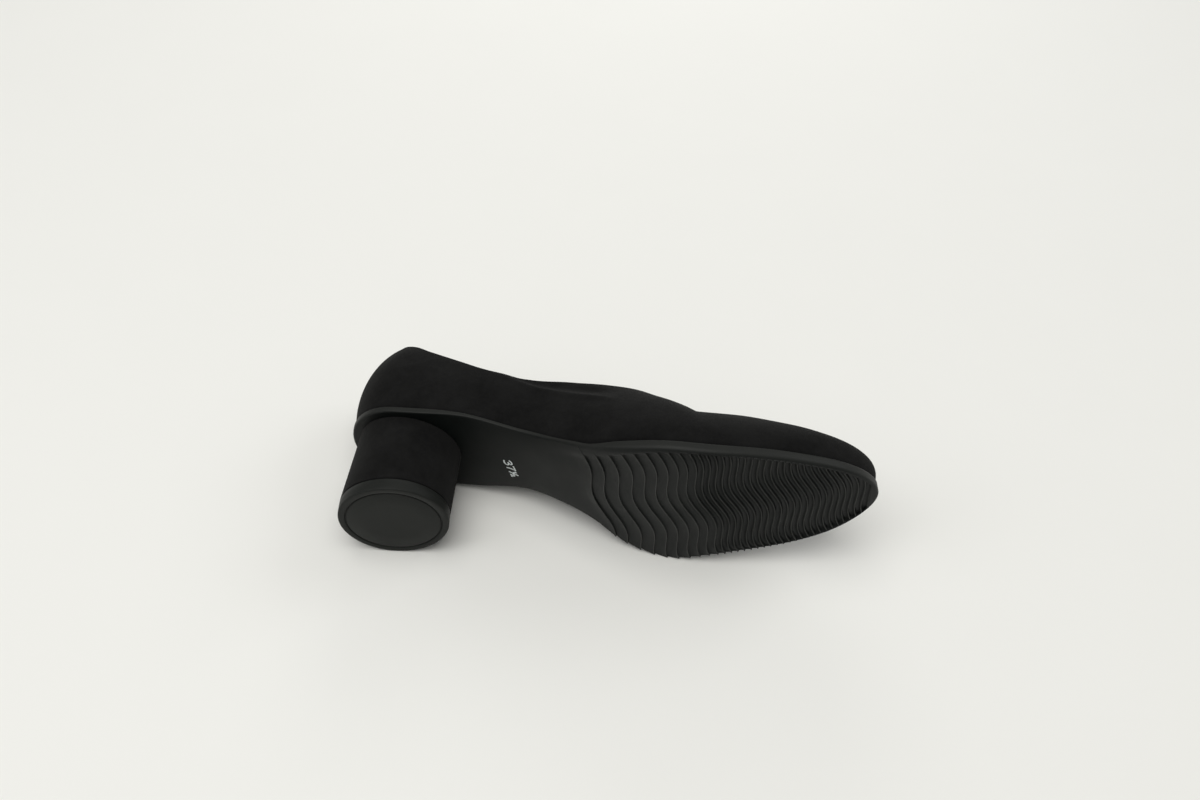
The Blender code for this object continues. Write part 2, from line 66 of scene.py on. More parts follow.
# Driving sizes of the last, the unit sole, the heel and the upper, as in the part's source, apart
# from WAVE_HEIGHT, which is a little lower here
SOLE_LENGTH = 247 * MM
BALL_WIDTH = 86 * MM
HEEL_LIFT = 47.5 * MM
TOE_SPRING = 7.0 * MM
COUNTER_RISE = 48 * MM
INSTEP_RISE = 45 * MM
SEAT_THICKNESS = 3.0 * MM
FOREFOOT_THICKNESS = 5.3 * MM
TREAD_PITCH = 3.12 * MM
WAVE_HEIGHT = 2.1 * MM
WAVE_LENGTH = 45 * MM
EDGE_ROUNDING = 0.9 * MM
HEEL_ROUND = 26 * MM
HEEL_FULLNESS = 2.2
TOE_ROUND_SHARE = 0.80
TOE_FULLNESS = 2.4
TOE_CLOSING = 1 / 1.9
HEEL_RADIUS = 25.5 * MM
HEEL_NECK_LENGTH = 48.8 * MM
HEEL_NECK_WIDTH = 46.0 * MM
HEEL_PLACE = 25.0 * MM
HEEL_PITCH = 3.5 * MM
HEEL_OFFSET = -0.85 * MM
TOP_PIECE_HEIGHT = 6.0 * MM
TOP_PIECE_ROUNDING = 0.9 * MM
RING_RADIUS = 22.0 * MM
WALL = 1.8 * MM
FEATHER_INSET = 1.0 * MM
LASTING_MARGIN = 7.0 * MM
INSOLE_THICKNESS = 2.0 * MM
SEAT_GAP = 0.3 * MM
INSIDE_LEAN = 1.2

# How finely each form is cut
QUARTER_STEPS = 130
VAMP_STEPS = 64
WALL_STEPS = 40
ROUND_STEPS = 160
TREAD_COLUMNS = 72
SHANK_STEPS = 40
SEAT_STEPS = 14
TIP_STEPS = 10

SOLE = (
    ("share", "outer", "inner", "heel", "toe", "thick"),
    (
        (0.00, 0.61, 0.62, 1.000, 0.00, 0.00),
        (0.10, 0.63, 0.63, 0.924, 0.00, 0.00),
        (0.23, 0.64, 0.63, 0.812, 0.00, 0.00),
        (0.35, 0.56, 0.49, 0.630, 0.00, 0.00),
        (0.45, 0.74, 0.53, 0.340, 0.00, 0.10),
        (0.53, 0.94, 0.82, 0.157, 0.00, 0.80),
        (0.61, 1.05, 0.97, 0.050, 0.05, 1.00),
        (0.69, 1.02, 0.88, 0.000, 0.12, 1.00),
        (0.78, 0.90, 0.80, 0.000, 0.25, 1.00),
        (0.86, 0.77, 0.70, 0.000, 0.38, 1.00),
        (0.93, 0.68, 0.64, 0.000, 0.62, 1.00),
        (1.00, 0.58, 0.57, 0.000, 1.00, 1.00),
    ),
)

TOP_LINE = (
    ("share", "along", "outer", "inner", "counter", "instep"),
    (
        (0.000, 0.061, 0.000, 0.000, 1.00, 0.000),
        (0.012, 0.068, 0.170, 0.170, 0.99, 0.000),
        (0.040, 0.085, 0.310, 0.310, 0.98, 0.000),
        (0.090, 0.116, 0.425, 0.425, 0.94, 0.000),
        (0.140, 0.152, 0.495, 0.500, 0.84, 0.000),
        (0.200, 0.207, 0.525, 0.535, 0.69, 0.050),
        (0.280, 0.282, 0.550, 0.555, 0.43, 0.230),
        (0.360, 0.360, 0.570, 0.560, 0.20, 0.480),
        (0.440, 0.440, 0.570, 0.555, 0.05, 0.825),
        (0.500, 0.503, 0.555, 0.545, 0.00, 0.975),
        (0.560, 0.568, 0.500, 0.495, 0.00, 1.020),
        (0.605, 0.609, 0.410, 0.410, 0.00, 1.010),
        (0.635, 0.633, 0.300, 0.300, 0.00, 0.985),
        (0.660, 0.648, 0.165, 0.165, 0.00, 0.972),
        (0.680, 0.655, 0.000, 0.000, 0.00, 0.975),
        (0.720, 0.688, 0.000, 0.000, 0.00, 0.955),
        (0.770, 0.737, 0.000, 0.000, 0.00, 0.905),
        (0.820, 0.786, 0.000, 0.000, 0.00, 0.825),
        (0.870, 0.832, 0.000, 0.000, 0.00, 0.735),
        (0.920, 0.875, 0.000, 0.000, 0.00, 0.625),
        (0.960, 0.909, 0.000, 0.000, 0.00, 0.535),
        (1.000, 0.932, 0.000, 0.000, 0.00, 0.455),
    ),
)
THROAT_SHARE = 0.68
THROAT_EDGE = (-1.0, 0.0, 0.3)

WALL_FORM = (
    ("share", "foot_outer", "foot_inner", "head", "hold_foot", "hold_head"),
    (
        (0.00, 9, 9, 43, 0.42, 0.30),
        (0.06, 9, 20, 36, 0.40, 0.30),
        (0.15, 8, 20, 22, 0.36, 0.34),
        (0.28, 9, 18, 20, 0.34, 0.36),
        (0.40, 10, 26, 30, 0.34, 0.38),
        (0.50, 8, 26, 38, 0.32, 0.36),
        (0.58, 8, 21, 55, 0.32, 0.34),
        (0.64, 9, 21, 78, 0.31, 0.32),
        (0.68, 10, 18, 90, 0.30, 0.32),
        (0.80, 12, 13, 90, 0.31, 0.37),
        (0.92, 17, 17, 90, 0.39, 0.46),
        (1.00, 24, 24, 90, 0.46, 0.48),
    ),
)

TOOTH_PITCH = (
    ("share", "pitch", "deep"),
    (
        (1, 2.05, 0.60),
        (2, 2.28, 0.60),
        (4, 1.94, 0.60),
        (6, 1.76, 0.65),
        (8, 1.45, 0.75),
        (9, 1.34, 0.85),
        (10, 1.05, 0.92),
        (12, 1.00, 1.00),
        (14, 1.00, 1.00),
        (60, 1.00, 1.00),
    ),
)
FIRST_TOOTH_SHARE = 0.477
LAST_TOOTH_SHARE = 0.985
WAVE_SLOPE = 0.19
WAVE_DRIFT = 0.31
WAVE_START = 0.10
WAVE_REFERENCE_SHARE = 0.607
WAVE_FADE_SHARE = 0.13
SHANK_RISE_START = 0.80
SHANK_RISE_LENGTH = 0.16
EDGE_TRIES = 60
EDGE_STEP = 0.4

# One tooth: its lip and the steep fall to the valley on the lip's toe side, as distances from the
# crest, and heights from 0 in the valley to 1 on the crest. Beyond it the tread rises slowly to the
# foot of the next lip.
TOOTH_FALL = ((0.0 * MM, 1.0), (0.15 * MM, 0.97), (0.35 * MM, 0.50), (0.55 * MM, 0.08), (0.80 * MM, 0.0))
TOOTH_RISE_PER_MM = 0.16
TOOTH_RISE_TOP = 0.70
LIP_FOOT = 0.50 * MM
LIP_SHOULDER = 0.12 * MM
LIP_SHOULDER_HEIGHT = 0.95

# Painted highlight on the sole's wall, a paler grey for the light it catches: 0 for none, 1 for full
WALL_PAINTED_HIGHLIGHT = 0.52

# The moulded grooves are cut deeper here than the solid's ridges, down to the real valleys
GROOVE_DEPTH = 1.7 * MM

# Rounding of the sole's lower edge and, as distances from that edge, where the grooves have run out.
# round_, end_ and run are in millimetres and kept_ is the share of the depth left at the edge itself.
RIM = (
    ("share", "round_outer", "round_inner", "end_outer", "end_inner", "run", "kept_outer", "kept_inner"),
    (
        (0.00, 0.9, 0.9, 4.0, 0.3, 6.0, 1.0, 1.0),
        (0.36, 0.9, 0.9, 4.0, 0.3, 6.0, 1.0, 1.0),
        (0.41, 1.2, 0.9, 4.0, 0.3, 6.0, 0.7, 1.0),
        (0.46, 1.9, 0.9, 4.0, 0.3, 5.0, 0.1, 1.0),
        (0.51, 2.5, 0.9, 3.6, 0.3, 3.0, 0.0, 1.0),
        (0.57, 2.8, 0.9, 2.4, 0.3, 1.6, 0.0, 1.0),
        (0.65, 2.7, 0.9, 1.7, 0.3, 0.9, 0.0, 0.8),
        (0.80, 2.5, 0.9, 1.6, 0.4, 0.9, 0.0, 0.4),
        (0.87, 2.2, 1.0, 1.4, 0.9, 0.9, 0.0, 0.1),
        (0.93, 1.9, 1.1, 1.2, 1.1, 0.9, 0.0, 0.0),
        (1.00, 1.3, 1.3, 0.9, 0.9, 0.9, 0.0, 0.0),
    ),
)
OUTLINE_POINTS = 500

# Points of a rounded edge, the most of the wall's height that the lower rounding may take, shares of
# the rest at which the wall is cut, and the insets of its top edge and of the cement
ARC_POINTS = 7
WALL_ROUNDED = 0.6
WALL_CUTS = (0.4, 0.7, 0.88)
TOP_EDGE_INSET = 0.35 * EDGE_ROUNDING
CEMENT_INSET = 2.2 * EDGE_ROUNDING

# Share of the tread's columns that are evenly spaced, the rest being crowded towards the edges
EVEN_COLUMNS = 0.6

# Height of the cement on the sole's top, which leaves only a hair of the seat gap open under the upper
CEMENT = 0.27 * MM

# Shares of the wall's height that the folded edge and the bare strip above the lining reach down,
# steps and height of the rolled rim, and the lining's height over the insole board's wall
FOLD_DROP = 0.06
LINING_DROP = 0.07
RIM_STEPS = 8
RIM_HEIGHT = 0.75
LINING_LIFT = 0.2 * MM

# Rounding of the sock's upper edge, and how many columns run across it
SOCK_ROUNDING = 0.6 * MM
SOCK_COLUMNS = 14

# The shank's underside is crowned towards its edges
CROWN = {"outer": 1.2 * MM, "inner": 0.6 * MM, "start": 0.14, "full": 0.26, "fade": 0.42, "end": 0.52}

# Heel cover: levels at which it is cut, the tuck at its foot and the level where the tuck ends, and
# the half widths of the seam and of the ridge at each side of it
HEEL_TUCK = 0.7 * MM
HEEL_TUCK_LEVEL = 0.018
HEEL_LEVELS = (0.0, 0.004, 0.010, HEEL_TUCK_LEVEL, *np.linspace(0.03, 1.0, 30))
SEAM_WIDTH = 0.5 * MM
SEAM_RIDGE = {"off": 1.3 * MM, "width": 0.8 * MM, "height": 0.4}

# Dip in the outer wall's top edge where the shank's thin edge runs into the forefoot
DIP = {"place": 0.475, "depth": 1.2 * MM, "before": 0.030, "after": 0.062}

# Soft folds of the suede on the outer side, each a track of places (share of the length, level of
# the wall) with its height and its half width
FOLDS = (
    {
        "track": (
            *((0.29, 0.99), (0.32, 0.885), (0.35, 0.82), (0.38, 0.76)),
            *((0.42, 0.715), (0.49, 0.66), (0.54, 0.58)),
        ),
        "height": 0.8 * MM,
        "spread": 2.2 * MM,
        "fade": 0.05,
    },
    {
        "track": ((0.29, 1.08), (0.35, 0.93), (0.42, 0.86), (0.49, 0.82), (0.54, 0.76)),
        "height": -0.9 * MM,
        "spread": 3.2 * MM,
        "fade": 0.06,
    },
    {
        "track": (
            *((0.08, 0.54), (0.11, 0.57), (0.13, 0.68), (0.15, 0.83)),
            *((0.18, 0.93), (0.21, 0.90), (0.25, 0.885)),
        ),
        "height": 0.22 * MM,
        "spread": 2.4 * MM,
        "fade": 0.03,
    },
)

# Top piece: small chamfer at its upper edge, and the ring groove's section from its rim to its floor
# (share of its half width, share of its depth)
TOP_CHAMFER = 0.3 * MM
RING_SECTION = ((1.3, 0.0), (1.0, 0.12), (0.75, 0.8), (0.3, 1.0))

# Strokes of the size number, in shares of its height: the reading direction first, then up
SIZE_STROKES = (
    ((0.04, 0.84), (0.14, 0.96), (0.30, 1.00), (0.46, 0.95), (0.52, 0.80), (0.44, 0.62), (0.26, 0.54)),
    ((0.26, 0.54), (0.46, 0.49), (0.58, 0.34), (0.54, 0.14), (0.38, 0.02), (0.20, 0.00), (0.02, 0.10)),
    ((0.74, 0.98), (1.30, 0.98), (1.12, 0.70), (1.00, 0.38), (0.94, 0.00)),
    ((1.42, 0.86), (1.54, 0.98), (1.54, 0.52)),
    ((1.46, 0.02), (1.66, 0.48), (1.88, 0.98)),
    ((1.74, 0.36), (1.82, 0.46), (1.98, 0.46), (2.02, 0.34), (1.90, 0.18), (1.76, 0.02), (2.08, 0.02)),
)
SIZE_PLACE = (73.5 * MM, 0.7 * MM)
SIZE_HEIGHT = 3.7 * MM
SIZE_SPREAD = 1.62
SIZE_TURN = math.radians(13)

# How far the ink stands over the rubber and reaches into it, and how far a stroke's ends run on, in
# shares of its half width
INK_LIFTS = (0.02 * MM, -0.03 * MM)
STROKE_RUN_ON = 0.7

OUTER_SIDE = -1
INNER_SIDE = 1
SIDE_NAMES = {OUTER_SIDE: "outer", INNER_SIDE: "inner"}

# Half the side of the square floor, in metres
FLOOR_HALF = 3.0

# The camera in the shoe's frame
CAMERA_PLACE = (145.85 * MM, -442.68 * MM, -300.35 * MM)
CAMERA_RIGHT = (0.99843, 0.05597, 0.00360)
CAMERA_UP = (0.03308, -0.63946, 0.76812)
CAMERA_BACK = (0.04529, -0.76679, -0.64030)


def linear(text):
    """Linear colour of an sRGB hex value."""
    parts = [int(text[k : k + 2], 16) / 255 for k in (1, 3, 5)]
    return tuple(v / 12.92 if v <= 0.04045 else ((v + 0.055) / 1.055) ** 2.4 for v in parts)


def per_metre(size_mm):
    """Texture scale that gives features of about the given size."""
    return 1000 / size_mm


def column(table, name):
    """One named column of a table."""
    names, rows = table
    place = names.index(name)
    return np.array([row[place] for row in rows], dtype=float)


def follow(table, name, at):
    """Smooth curve through a table's named column, read at the given shares."""
    knots = column(table, "share")
    values = column(table, name)
    slopes = np.gradient(values, knots)
    at = np.clip(np.asarray(at, dtype=float), knots[0], knots[-1])
    low = np.clip(np.searchsorted(knots, at, side="right") - 1, 0, len(knots) - 2)
    span = knots[low + 1] - knots[low]
    t = (at - knots[low]) / span
    start = values[low] * (2 * t**3 - 3 * t**2 + 1) + slopes[low] * span * (t**3 - 2 * t**2 + t)
    end = values[low + 1] * (3 * t**2 - 2 * t**3) + slopes[low + 1] * span * (t**3 - t**2)
    return start + end


def ease(value):
    """Soft step from 0 to 1."""
    value = np.clip(value, 0.0, 1.0)
    return value * value * (3 - 2 * value)


def half_width(share, side):
    """Half width of the sole, with its round heel and toe."""
    share = np.clip(np.asarray(share, dtype=float), 0.0, 1.0)
    width = follow(SOLE, SIDE_NAMES[side], share) * BALL_WIDTH / 2
    heel = np.clip(1 - share * SOLE_LENGTH / HEEL_ROUND, 0, 1)
    toe = np.clip((share - TOE_ROUND_SHARE) / (1 - TOE_ROUND_SHARE), 0, 1)
    return width * np.sqrt(1 - heel**HEEL_FULLNESS) * (1 - toe**TOE_FULLNESS) ** TOE_CLOSING


def underside(x):
    """Height of the sole's lower face above the ground."""
    share = np.asarray(x) / SOLE_LENGTH
    return follow(SOLE, "heel", share) * HEEL_LIFT + follow(SOLE, "toe", share) * TOE_SPRING


def thickness(x):
    """Thickness of the unit sole."""
    grow = follow(SOLE, "thick", np.asarray(x) / SOLE_LENGTH)
    return SEAT_THICKNESS + grow * (FOREFOOT_THICKNESS - SEAT_THICKNESS)


def sole_top(x):
    """Height of the face that the upper sits on."""
    return underside(x) + thickness(x)


def turn_of(share):
    """Angle round the outline, 0 at the heel and pi at the toe, of a share of the length."""
    return np.arccos(1 - 2 * np.clip(share, 0, 1))


def outline(turn, side, inset=0.0):
    """Points of the sole's outline in plan, moved inwards by the inset, and their outward normals."""
    turn = np.asarray(turn, dtype=float)

    def place(angle):
        share = (1 - np.cos(angle)) / 2
        return share * SOLE_LENGTH, side * half_width(share, side)

    step = 1e-3
    x, y = place(turn)
    x_after, y_after = place(np.minimum(turn + step, math.pi))
    x_before, y_before = place(np.maximum(turn - step, 0))
    along_x = x_after - x_before
    along_y = y_after - y_before
    size = np.hypot(along_x, along_y)
    normal_x = -side * along_y / size
    normal_y = side * along_x / size
    at_end = (turn < step) | (turn > math.pi - step)
    normal_x = np.where(at_end, np.where(turn > 1, 1.0, -1.0), normal_x)
    normal_y = np.where(at_end, 0.0, normal_y)
    return x - inset * normal_x, y - inset * normal_y, normal_x, normal_y


def shoe_to_world():
    """Matrix from the shoe's frame to the world, read from the heel's ground face."""
    mounts = frame["record"]["mounts"]
    face = next(mount for mount in mounts if mount["name"] == HEEL_FACE_MOUNT)
    up = -Vector(face["axis"]).normalized()
    ahead = Vector((-up.z, 0.0, up.x)).normalized()
    if ahead.x < 0:
        ahead.negate()
    inner = up.cross(ahead)
    turn = Matrix((ahead, inner, up)).transposed()
    place = Vector(face["pos_m"]) - turn @ Vector((HEEL_PLACE, HEEL_OFFSET, 0.0))
    return Matrix.Translation(place) @ turn.to_4x4()


SHOE = shoe_to_world()


class Builder:
    """Collects faces given by their corners in the shoe's frame and welds corners that meet."""

    def __init__(self):
        self.points = []
        self.painted_highlight = []
        self.faces = []
        self.known = {}

    def corner(self, point):
        """Number of the point, whose fourth value, where it has one, tells how much painted highlight it
        carries.
        """
        place = [float(value) for value in point[:3]]
        key = tuple(round(value * 1e7) for value in place)
        if key not in self.known:
            self.known[key] = len(self.points)
            self.points.append(SHOE @ Vector(place))
            self.painted_highlight.append(float(point[3]) if len(point) > 3 else 0.0)
        return self.known[key]

    def face(self, *corners):
        """One face, left out where its corners weld into a line."""
        loop = []
        for corner in corners:
            number = self.corner(corner)
            if number not in loop:
                loop.append(number)
        if len(loop) > 2:
            self.faces.append(loop)

    def strip(self, first, second, closed=False):
        """Faces between two rows of points."""
        count = len(first)
        for k in range(count if closed else count - 1):
            n = (k + 1) % count
            self.face(first[k], first[n], second[n], second[k])

    def make(self, name, surface, node=None, sharp=40):
        """The mesh, facing out, as a piece of the shoe."""
        mesh = bpy.data.meshes.new(name)
        mesh.from_pydata(self.points, [], self.faces)
        form = bmesh.new()
        form.from_mesh(mesh)
        bmesh.ops.recalc_face_normals(form, faces=form.faces)
        if form.calc_volume(signed=True) < 0:
            bmesh.ops.reverse_faces(form, faces=form.faces)
        form.to_mesh(mesh)
        form.free()
        mesh.shade_smooth()
        mesh.set_sharp_from_angle(angle=math.radians(sharp))
        mesh.materials.append(surface)
        if any(self.painted_highlight):
            mesh.attributes.new("painted_highlight", "FLOAT", "POINT").data.foreach_set("value", self.painted_highlight)
        piece = bpy.data.objects.new(name, mesh)
        bpy.context.scene.collection.objects.link(piece)
        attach(piece, BODY)
        if node:
            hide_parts(node)
        return piece


def add_node(tree, kind, settings=None, links=None):
    """Adds a node, sets its values by property or socket name, and links its sockets."""
    node = tree.nodes.new(kind)
    for name, value in (settings or {}).items():
        if isinstance(name, str) and hasattr(node, name):
            setattr(node, name, value)
        else:
            node.inputs[name].default_value = value
    for name, source in (links or {}).items():
        tree.links.new(source, node.inputs[name])
    return node


def new_surface(name):
    """Empty material with its tree, shader and object coordinates."""
    surface = bpy.data.materials.new(name)
    surface.use_nodes = True
    tree = surface.node_tree
    tree.nodes.clear()
    shader = add_node(tree, "ShaderNodeBsdfPrincipled")
    add_node(tree, "ShaderNodeOutputMaterial", links={"Surface": shader.outputs["BSDF"]})
    coordinates = add_node(tree, "ShaderNodeTexCoord").outputs["Object"]
    return surface, tree, shader, coordinates


def napped_suede(looks):
    """Suede: calf split, napped and drum dyed black.

    The nap scatters light, so there is no gloss but a faint pale sheen at grazing angles, and brushed
    patches of nap give soft lighter and darker clouds.
    """
    surface, tree, shader, coordinates = new_surface("napped calf suede, dyed black")
    cloud = add_node(
        tree,
        "ShaderNodeTexNoise",
        {"Scale": per_metre(looks.cloud_size * 1000), "Detail": 3.0, "Roughness": 0.55},
        {"Vector": coordinates},
    )
    brushed = add_node(
        tree,
        "ShaderNodeTexNoise",
        {"Scale": per_metre(3.2), "Detail": 4.0, "Roughness": 0.7, "Distortion": 0.6},
        {"Vector": coordinates},
    )
    mixed = add_node(
        tree,
        "ShaderNodeMix",
        {"data_type": "FLOAT", 0: 0.38},
        {2: cloud.outputs["Fac"], 3: brushed.outputs["Fac"]},
    )
    ramp = add_node(tree, "ShaderNodeValToRGB", links={"Fac": mixed.outputs[0]})
    ramp.color_ramp.elements[0].position = 0.36
    ramp.color_ramp.elements[0].color = (*looks.deep, 1)
    ramp.color_ramp.elements[1].position = 0.66
    ramp.color_ramp.elements[1].color = (*looks.brushed, 1)
    # The fibres are 0.1 to 0.3 mm long, drawn at 0.55 mm so that they show
    nap = add_node(
        tree,
        "ShaderNodeTexNoise",
        {"Scale": per_metre(0.55), "Detail": 5.0, "Roughness": 0.75},
        {"Vector": coordinates},
    )
    bump = add_node(
        tree,
        "ShaderNodeBump",
        {"Strength": 0.9, "Distance": looks.nap},
        {"Height": nap.outputs["Fac"]},
    )
    soft = add_node(
        tree,
        "ShaderNodeBump",
        {"Strength": 0.6, "Distance": 0.25 * MM},
        {"Height": brushed.outputs["Fac"], "Normal": bump.outputs["Normal"]},
    )
    tree.links.new(ramp.outputs["Color"], shader.inputs["Base Color"])
    tree.links.new(soft.outputs["Normal"], shader.inputs["Normal"])
    shader.inputs["Roughness"].default_value = 0.92
    shader.inputs["Specular IOR Level"].default_value = 0.12
    shader.inputs["Sheen Weight"].default_value = looks.sheen
    shader.inputs["Sheen Roughness"].default_value = 0.55
    shader.inputs["Sheen Tint"].default_value = (*linear("#c6c6c4"), 1)
    return surface


def moulded_rubber(looks, name, colour, roughness):
    """Styrene rubber: injection moulded, black.

    The mould's fine spark texture turns its gloss into a wide satin band that lifts where the surface
    bends away. A paler, warmer grey is painted on the wall and on the crests of the tread's thin lips as
    a painted highlight, for the light that they catch.
    bends away. The wall and the tread's thin lips are buffed to a paler, warmer grey.
    """
    surface, tree, shader, coordinates = new_surface(name)
    patch = add_node(
        tree,
        "ShaderNodeTexNoise",
        {"Scale": per_metre(14), "Detail": 3.0, "Roughness": 0.6},
        {"Vector": coordinates},
    )
    tone = add_node(tree, "ShaderNodeValToRGB", links={"Fac": patch.outputs["Fac"]})
    tone.color_ramp.elements[0].position = 0.30
    tone.color_ramp.elements[0].color = (*(0.86 * value for value in colour), 1)
    tone.color_ramp.elements[1].position = 0.72
    tone.color_ramp.elements[1].color = (*(1.12 * value for value in colour), 1)
    gloss = add_node(
        tree,
        "ShaderNodeMapRange",
        {"From Min": 0.3, "From Max": 0.7, "To Min": roughness - 0.04, "To Max": roughness + 0.05},
        {"Value": patch.outputs["Fac"]},
    )
    # Spark texture is about 0.05 mm coarse, drawn at 0.35 mm so that it shows
    grit = add_node(
        tree,
        "ShaderNodeTexNoise",
        {"Scale": per_metre(0.35), "Detail": 4.0, "Roughness": 0.65},
        {"Vector": coordinates},
    )
    bump = add_node(
        tree,
        "ShaderNodeBump",
        {"Strength": 0.5, "Distance": looks.grit},
        {"Height": grit.outputs["Fac"]},
    )
    # Share of painted highlight stored on the sole's points: the paler grey on the wall and the lips'
    # crests
    share = add_node(tree, "ShaderNodeAttribute", {"attribute_name": "painted_highlight"})
    blend = add_node(
        tree,
        "ShaderNodeMix",
        {"data_type": "RGBA", 7: (*looks.painted_highlight, 1)},
        {0: share.outputs["Fac"], 6: tone.outputs["Color"]},
    )
    tree.links.new(blend.outputs[2], shader.inputs["Base Color"])
    tree.links.new(gloss.outputs["Result"], shader.inputs["Roughness"])
    tree.links.new(bump.outputs["Normal"], shader.inputs["Normal"])
    shader.inputs["IOR"].default_value = 1.52
    shader.inputs["Specular IOR Level"].default_value = looks.gloss
    return surface


def lining_leather(looks, name, colour, roughness):
    """Lining leather: pigskin, drum dyed black and lightly polished.

    Its pores and fine creases break a soft shine into a leather grain.
    """
    surface, tree, shader, coordinates = new_surface(name)
    grain = add_node(
        tree,
        "ShaderNodeTexVoronoi",
        {"feature": "F1", "Scale": per_metre(looks.grain * 1000), "Randomness": 1.0},
        {"Vector": coordinates},
    )
    stain = add_node(
        tree,
        "ShaderNodeTexNoise",
        {"Scale": per_metre(22), "Detail": 3.0},
        {"Vector": coordinates},
    )
    tone = add_node(tree, "ShaderNodeValToRGB", links={"Fac": stain.outputs["Fac"]})
    tone.color_ramp.elements[0].position = 0.32
    tone.color_ramp.elements[0].color = (*(0.8 * value for value in colour), 1)
    tone.color_ramp.elements[1].position = 0.70
    tone.color_ramp.elements[1].color = (*(1.2 * value for value in colour), 1)
    bump = add_node(
        tree,
        "ShaderNodeBump",
        {"Strength": 0.45, "Distance": 0.12 * MM},
        {"Height": grain.outputs["Distance"]},
    )
    tree.links.new(tone.outputs["Color"], shader.inputs["Base Color"])
    tree.links.new(bump.outputs["Normal"], shader.inputs["Normal"])
    shader.inputs["Roughness"].default_value = roughness
    shader.inputs["IOR"].default_value = 1.5
    return surface


def pad_printed_ink(looks):
    """Pad printed ink: white, thin and slightly uneven, so that the dark rubber shows in places."""
    surface, tree, shader, coordinates = new_surface("white pad printed ink")
    wear = add_node(
        tree,
        "ShaderNodeTexNoise",
        {"Scale": per_metre(1.1), "Detail": 3.0},
        {"Vector": coordinates},
    )
    tone = add_node(tree, "ShaderNodeValToRGB", links={"Fac": wear.outputs["Fac"]})
    tone.color_ramp.elements[0].position = 0.30
    tone.color_ramp.elements[0].color = (*(0.45 * value for value in looks.ink), 1)
    tone.color_ramp.elements[1].position = 0.52
    tone.color_ramp.elements[1].color = (*looks.ink, 1)
    tree.links.new(tone.outputs["Color"], shader.inputs["Base Color"])
    shader.inputs["Roughness"].default_value = 0.55
    return surface


def painted_board(looks):
    """Floor: matt white painted board with a barely visible roller texture."""
    surface, tree, shader, coordinates = new_surface("matt white painted board")
    roller = add_node(
        tree,
        "ShaderNodeTexNoise",
        {"Scale": per_metre(60), "Detail": 3.0},
        {"Vector": coordinates},
    )
    tone = add_node(tree, "ShaderNodeValToRGB", links={"Fac": roller.outputs["Fac"]})
    tone.color_ramp.elements[0].color = (*(0.985 * value for value in looks.floor), 1)
    tone.color_ramp.elements[1].color = (*looks.floor, 1)
    tree.links.new(tone.outputs["Color"], shader.inputs["Base Color"])
    shader.inputs["Roughness"].default_value = 0.9
    shader.inputs["Specular IOR Level"].default_value = 0.1
    return surface


def section_turns():
    """Angles round the outline of the upper's sections; one of them meets the throat."""
    throat = float(turn_of(THROAT_SHARE))
    quarters = np.linspace(0, throat, QUARTER_STEPS + 1)
    vamp = np.linspace(throat, math.pi, VAMP_STEPS + 1)
    return np.concatenate([quarters, vamp[1:]])


def top_points(share, side):
    """Points of the top line and of the vamp's ridge."""
    x = follow(TOP_LINE, "along", share) * SOLE_LENGTH
    y = side * follow(TOP_LINE, SIDE_NAMES[side], share) * BALL_WIDTH / 2
    y[QUARTER_STEPS:] = 0.0
    y[0] = 0.0
    rise = follow(TOP_LINE, "counter", share) * COUNTER_RISE
    rise = rise + follow(TOP_LINE, "instep", share) * INSTEP_RISE
    z = sole_top(share * SOLE_LENGTH) + rise
    return np.stack([x, y, z], axis=1)


def last_surface(side):
    """Grid of the upper's outer face on one side, from the sole's edge to the top line or ridge."""
    turns = section_turns()
    share = (1 - np.cos(turns)) / 2
    x, y, normal_x, normal_y = outline(turns, side, FEATHER_INSET)
    foot = np.stack([x, y, sole_top(x) + SEAT_GAP + EDGE_ROUNDING], axis=1)
    head = top_points(share, side)
    flat = np.stack([normal_x, normal_y, 0 * x], axis=1)
    up = np.array([0.0, 0.0, 1.0])
    ridge = np.gradient(head, axis=0)
    ridge[:QUARTER_STEPS] = (1.0, 0.0, 0.0)
    ridge[:, 1] = 0.0
    ridge = ridge / np.linalg.norm(ridge, axis=1)[:, None]
    out_head = normal_x[:, None] * ridge
    out_head[:, 1] = normal_y
    lean_foot = np.radians(follow(WALL_FORM, "foot_" + SIDE_NAMES[side], share))[:, None]
    lean_head = np.radians(follow(WALL_FORM, "head", share))[:, None]
    lean_head[QUARTER_STEPS:] = math.pi / 2
    reach = np.linalg.norm(head - foot, axis=1)[:, None]
    hold_foot = follow(WALL_FORM, "hold_foot", share)[:, None] * reach
    hold_head = follow(WALL_FORM, "hold_head", share)[:, None] * reach
    foot_pull = foot + hold_foot * (np.cos(lean_foot) * up + np.sin(lean_foot) * flat)
    head_pull = head - hold_head * (np.cos(lean_head) * up - np.sin(lean_head) * out_head)
    rows = []
    for t in np.linspace(0, 1, WALL_STEPS + 1):
        lower = (1 - t) ** 3 * foot + 3 * t * (1 - t) ** 2 * foot_pull
        upper = 3 * t * t * (1 - t) * head_pull + t**3 * head
        rows.append(lower + upper)
    return np.stack(rows, axis=1)


def outward(grid, side):
    """Unit normals of a grid of points, pointing out of the shoe."""
    along = np.gradient(grid, axis=0)
    across = np.gradient(grid, axis=1)
    along[0] = (0.0, side, 0.0)
    along[-1, :-1] = (0.0, -side, 0.0)
    across[QUARTER_STEPS:, -1, 0] = 0.0
    across[QUARTER_STEPS:, -1, 1] = -side
    across[QUARTER_STEPS:, -1, 2] = 0.0
    normal = -side * np.cross(along, across)
    normal[0, :, 1] = 0.0
    normal[-1, :, 1] = 0.0
    normal[QUARTER_STEPS:, -1, 1] = 0.0
    return normal / np.linalg.norm(normal, axis=2)[:, :, None]


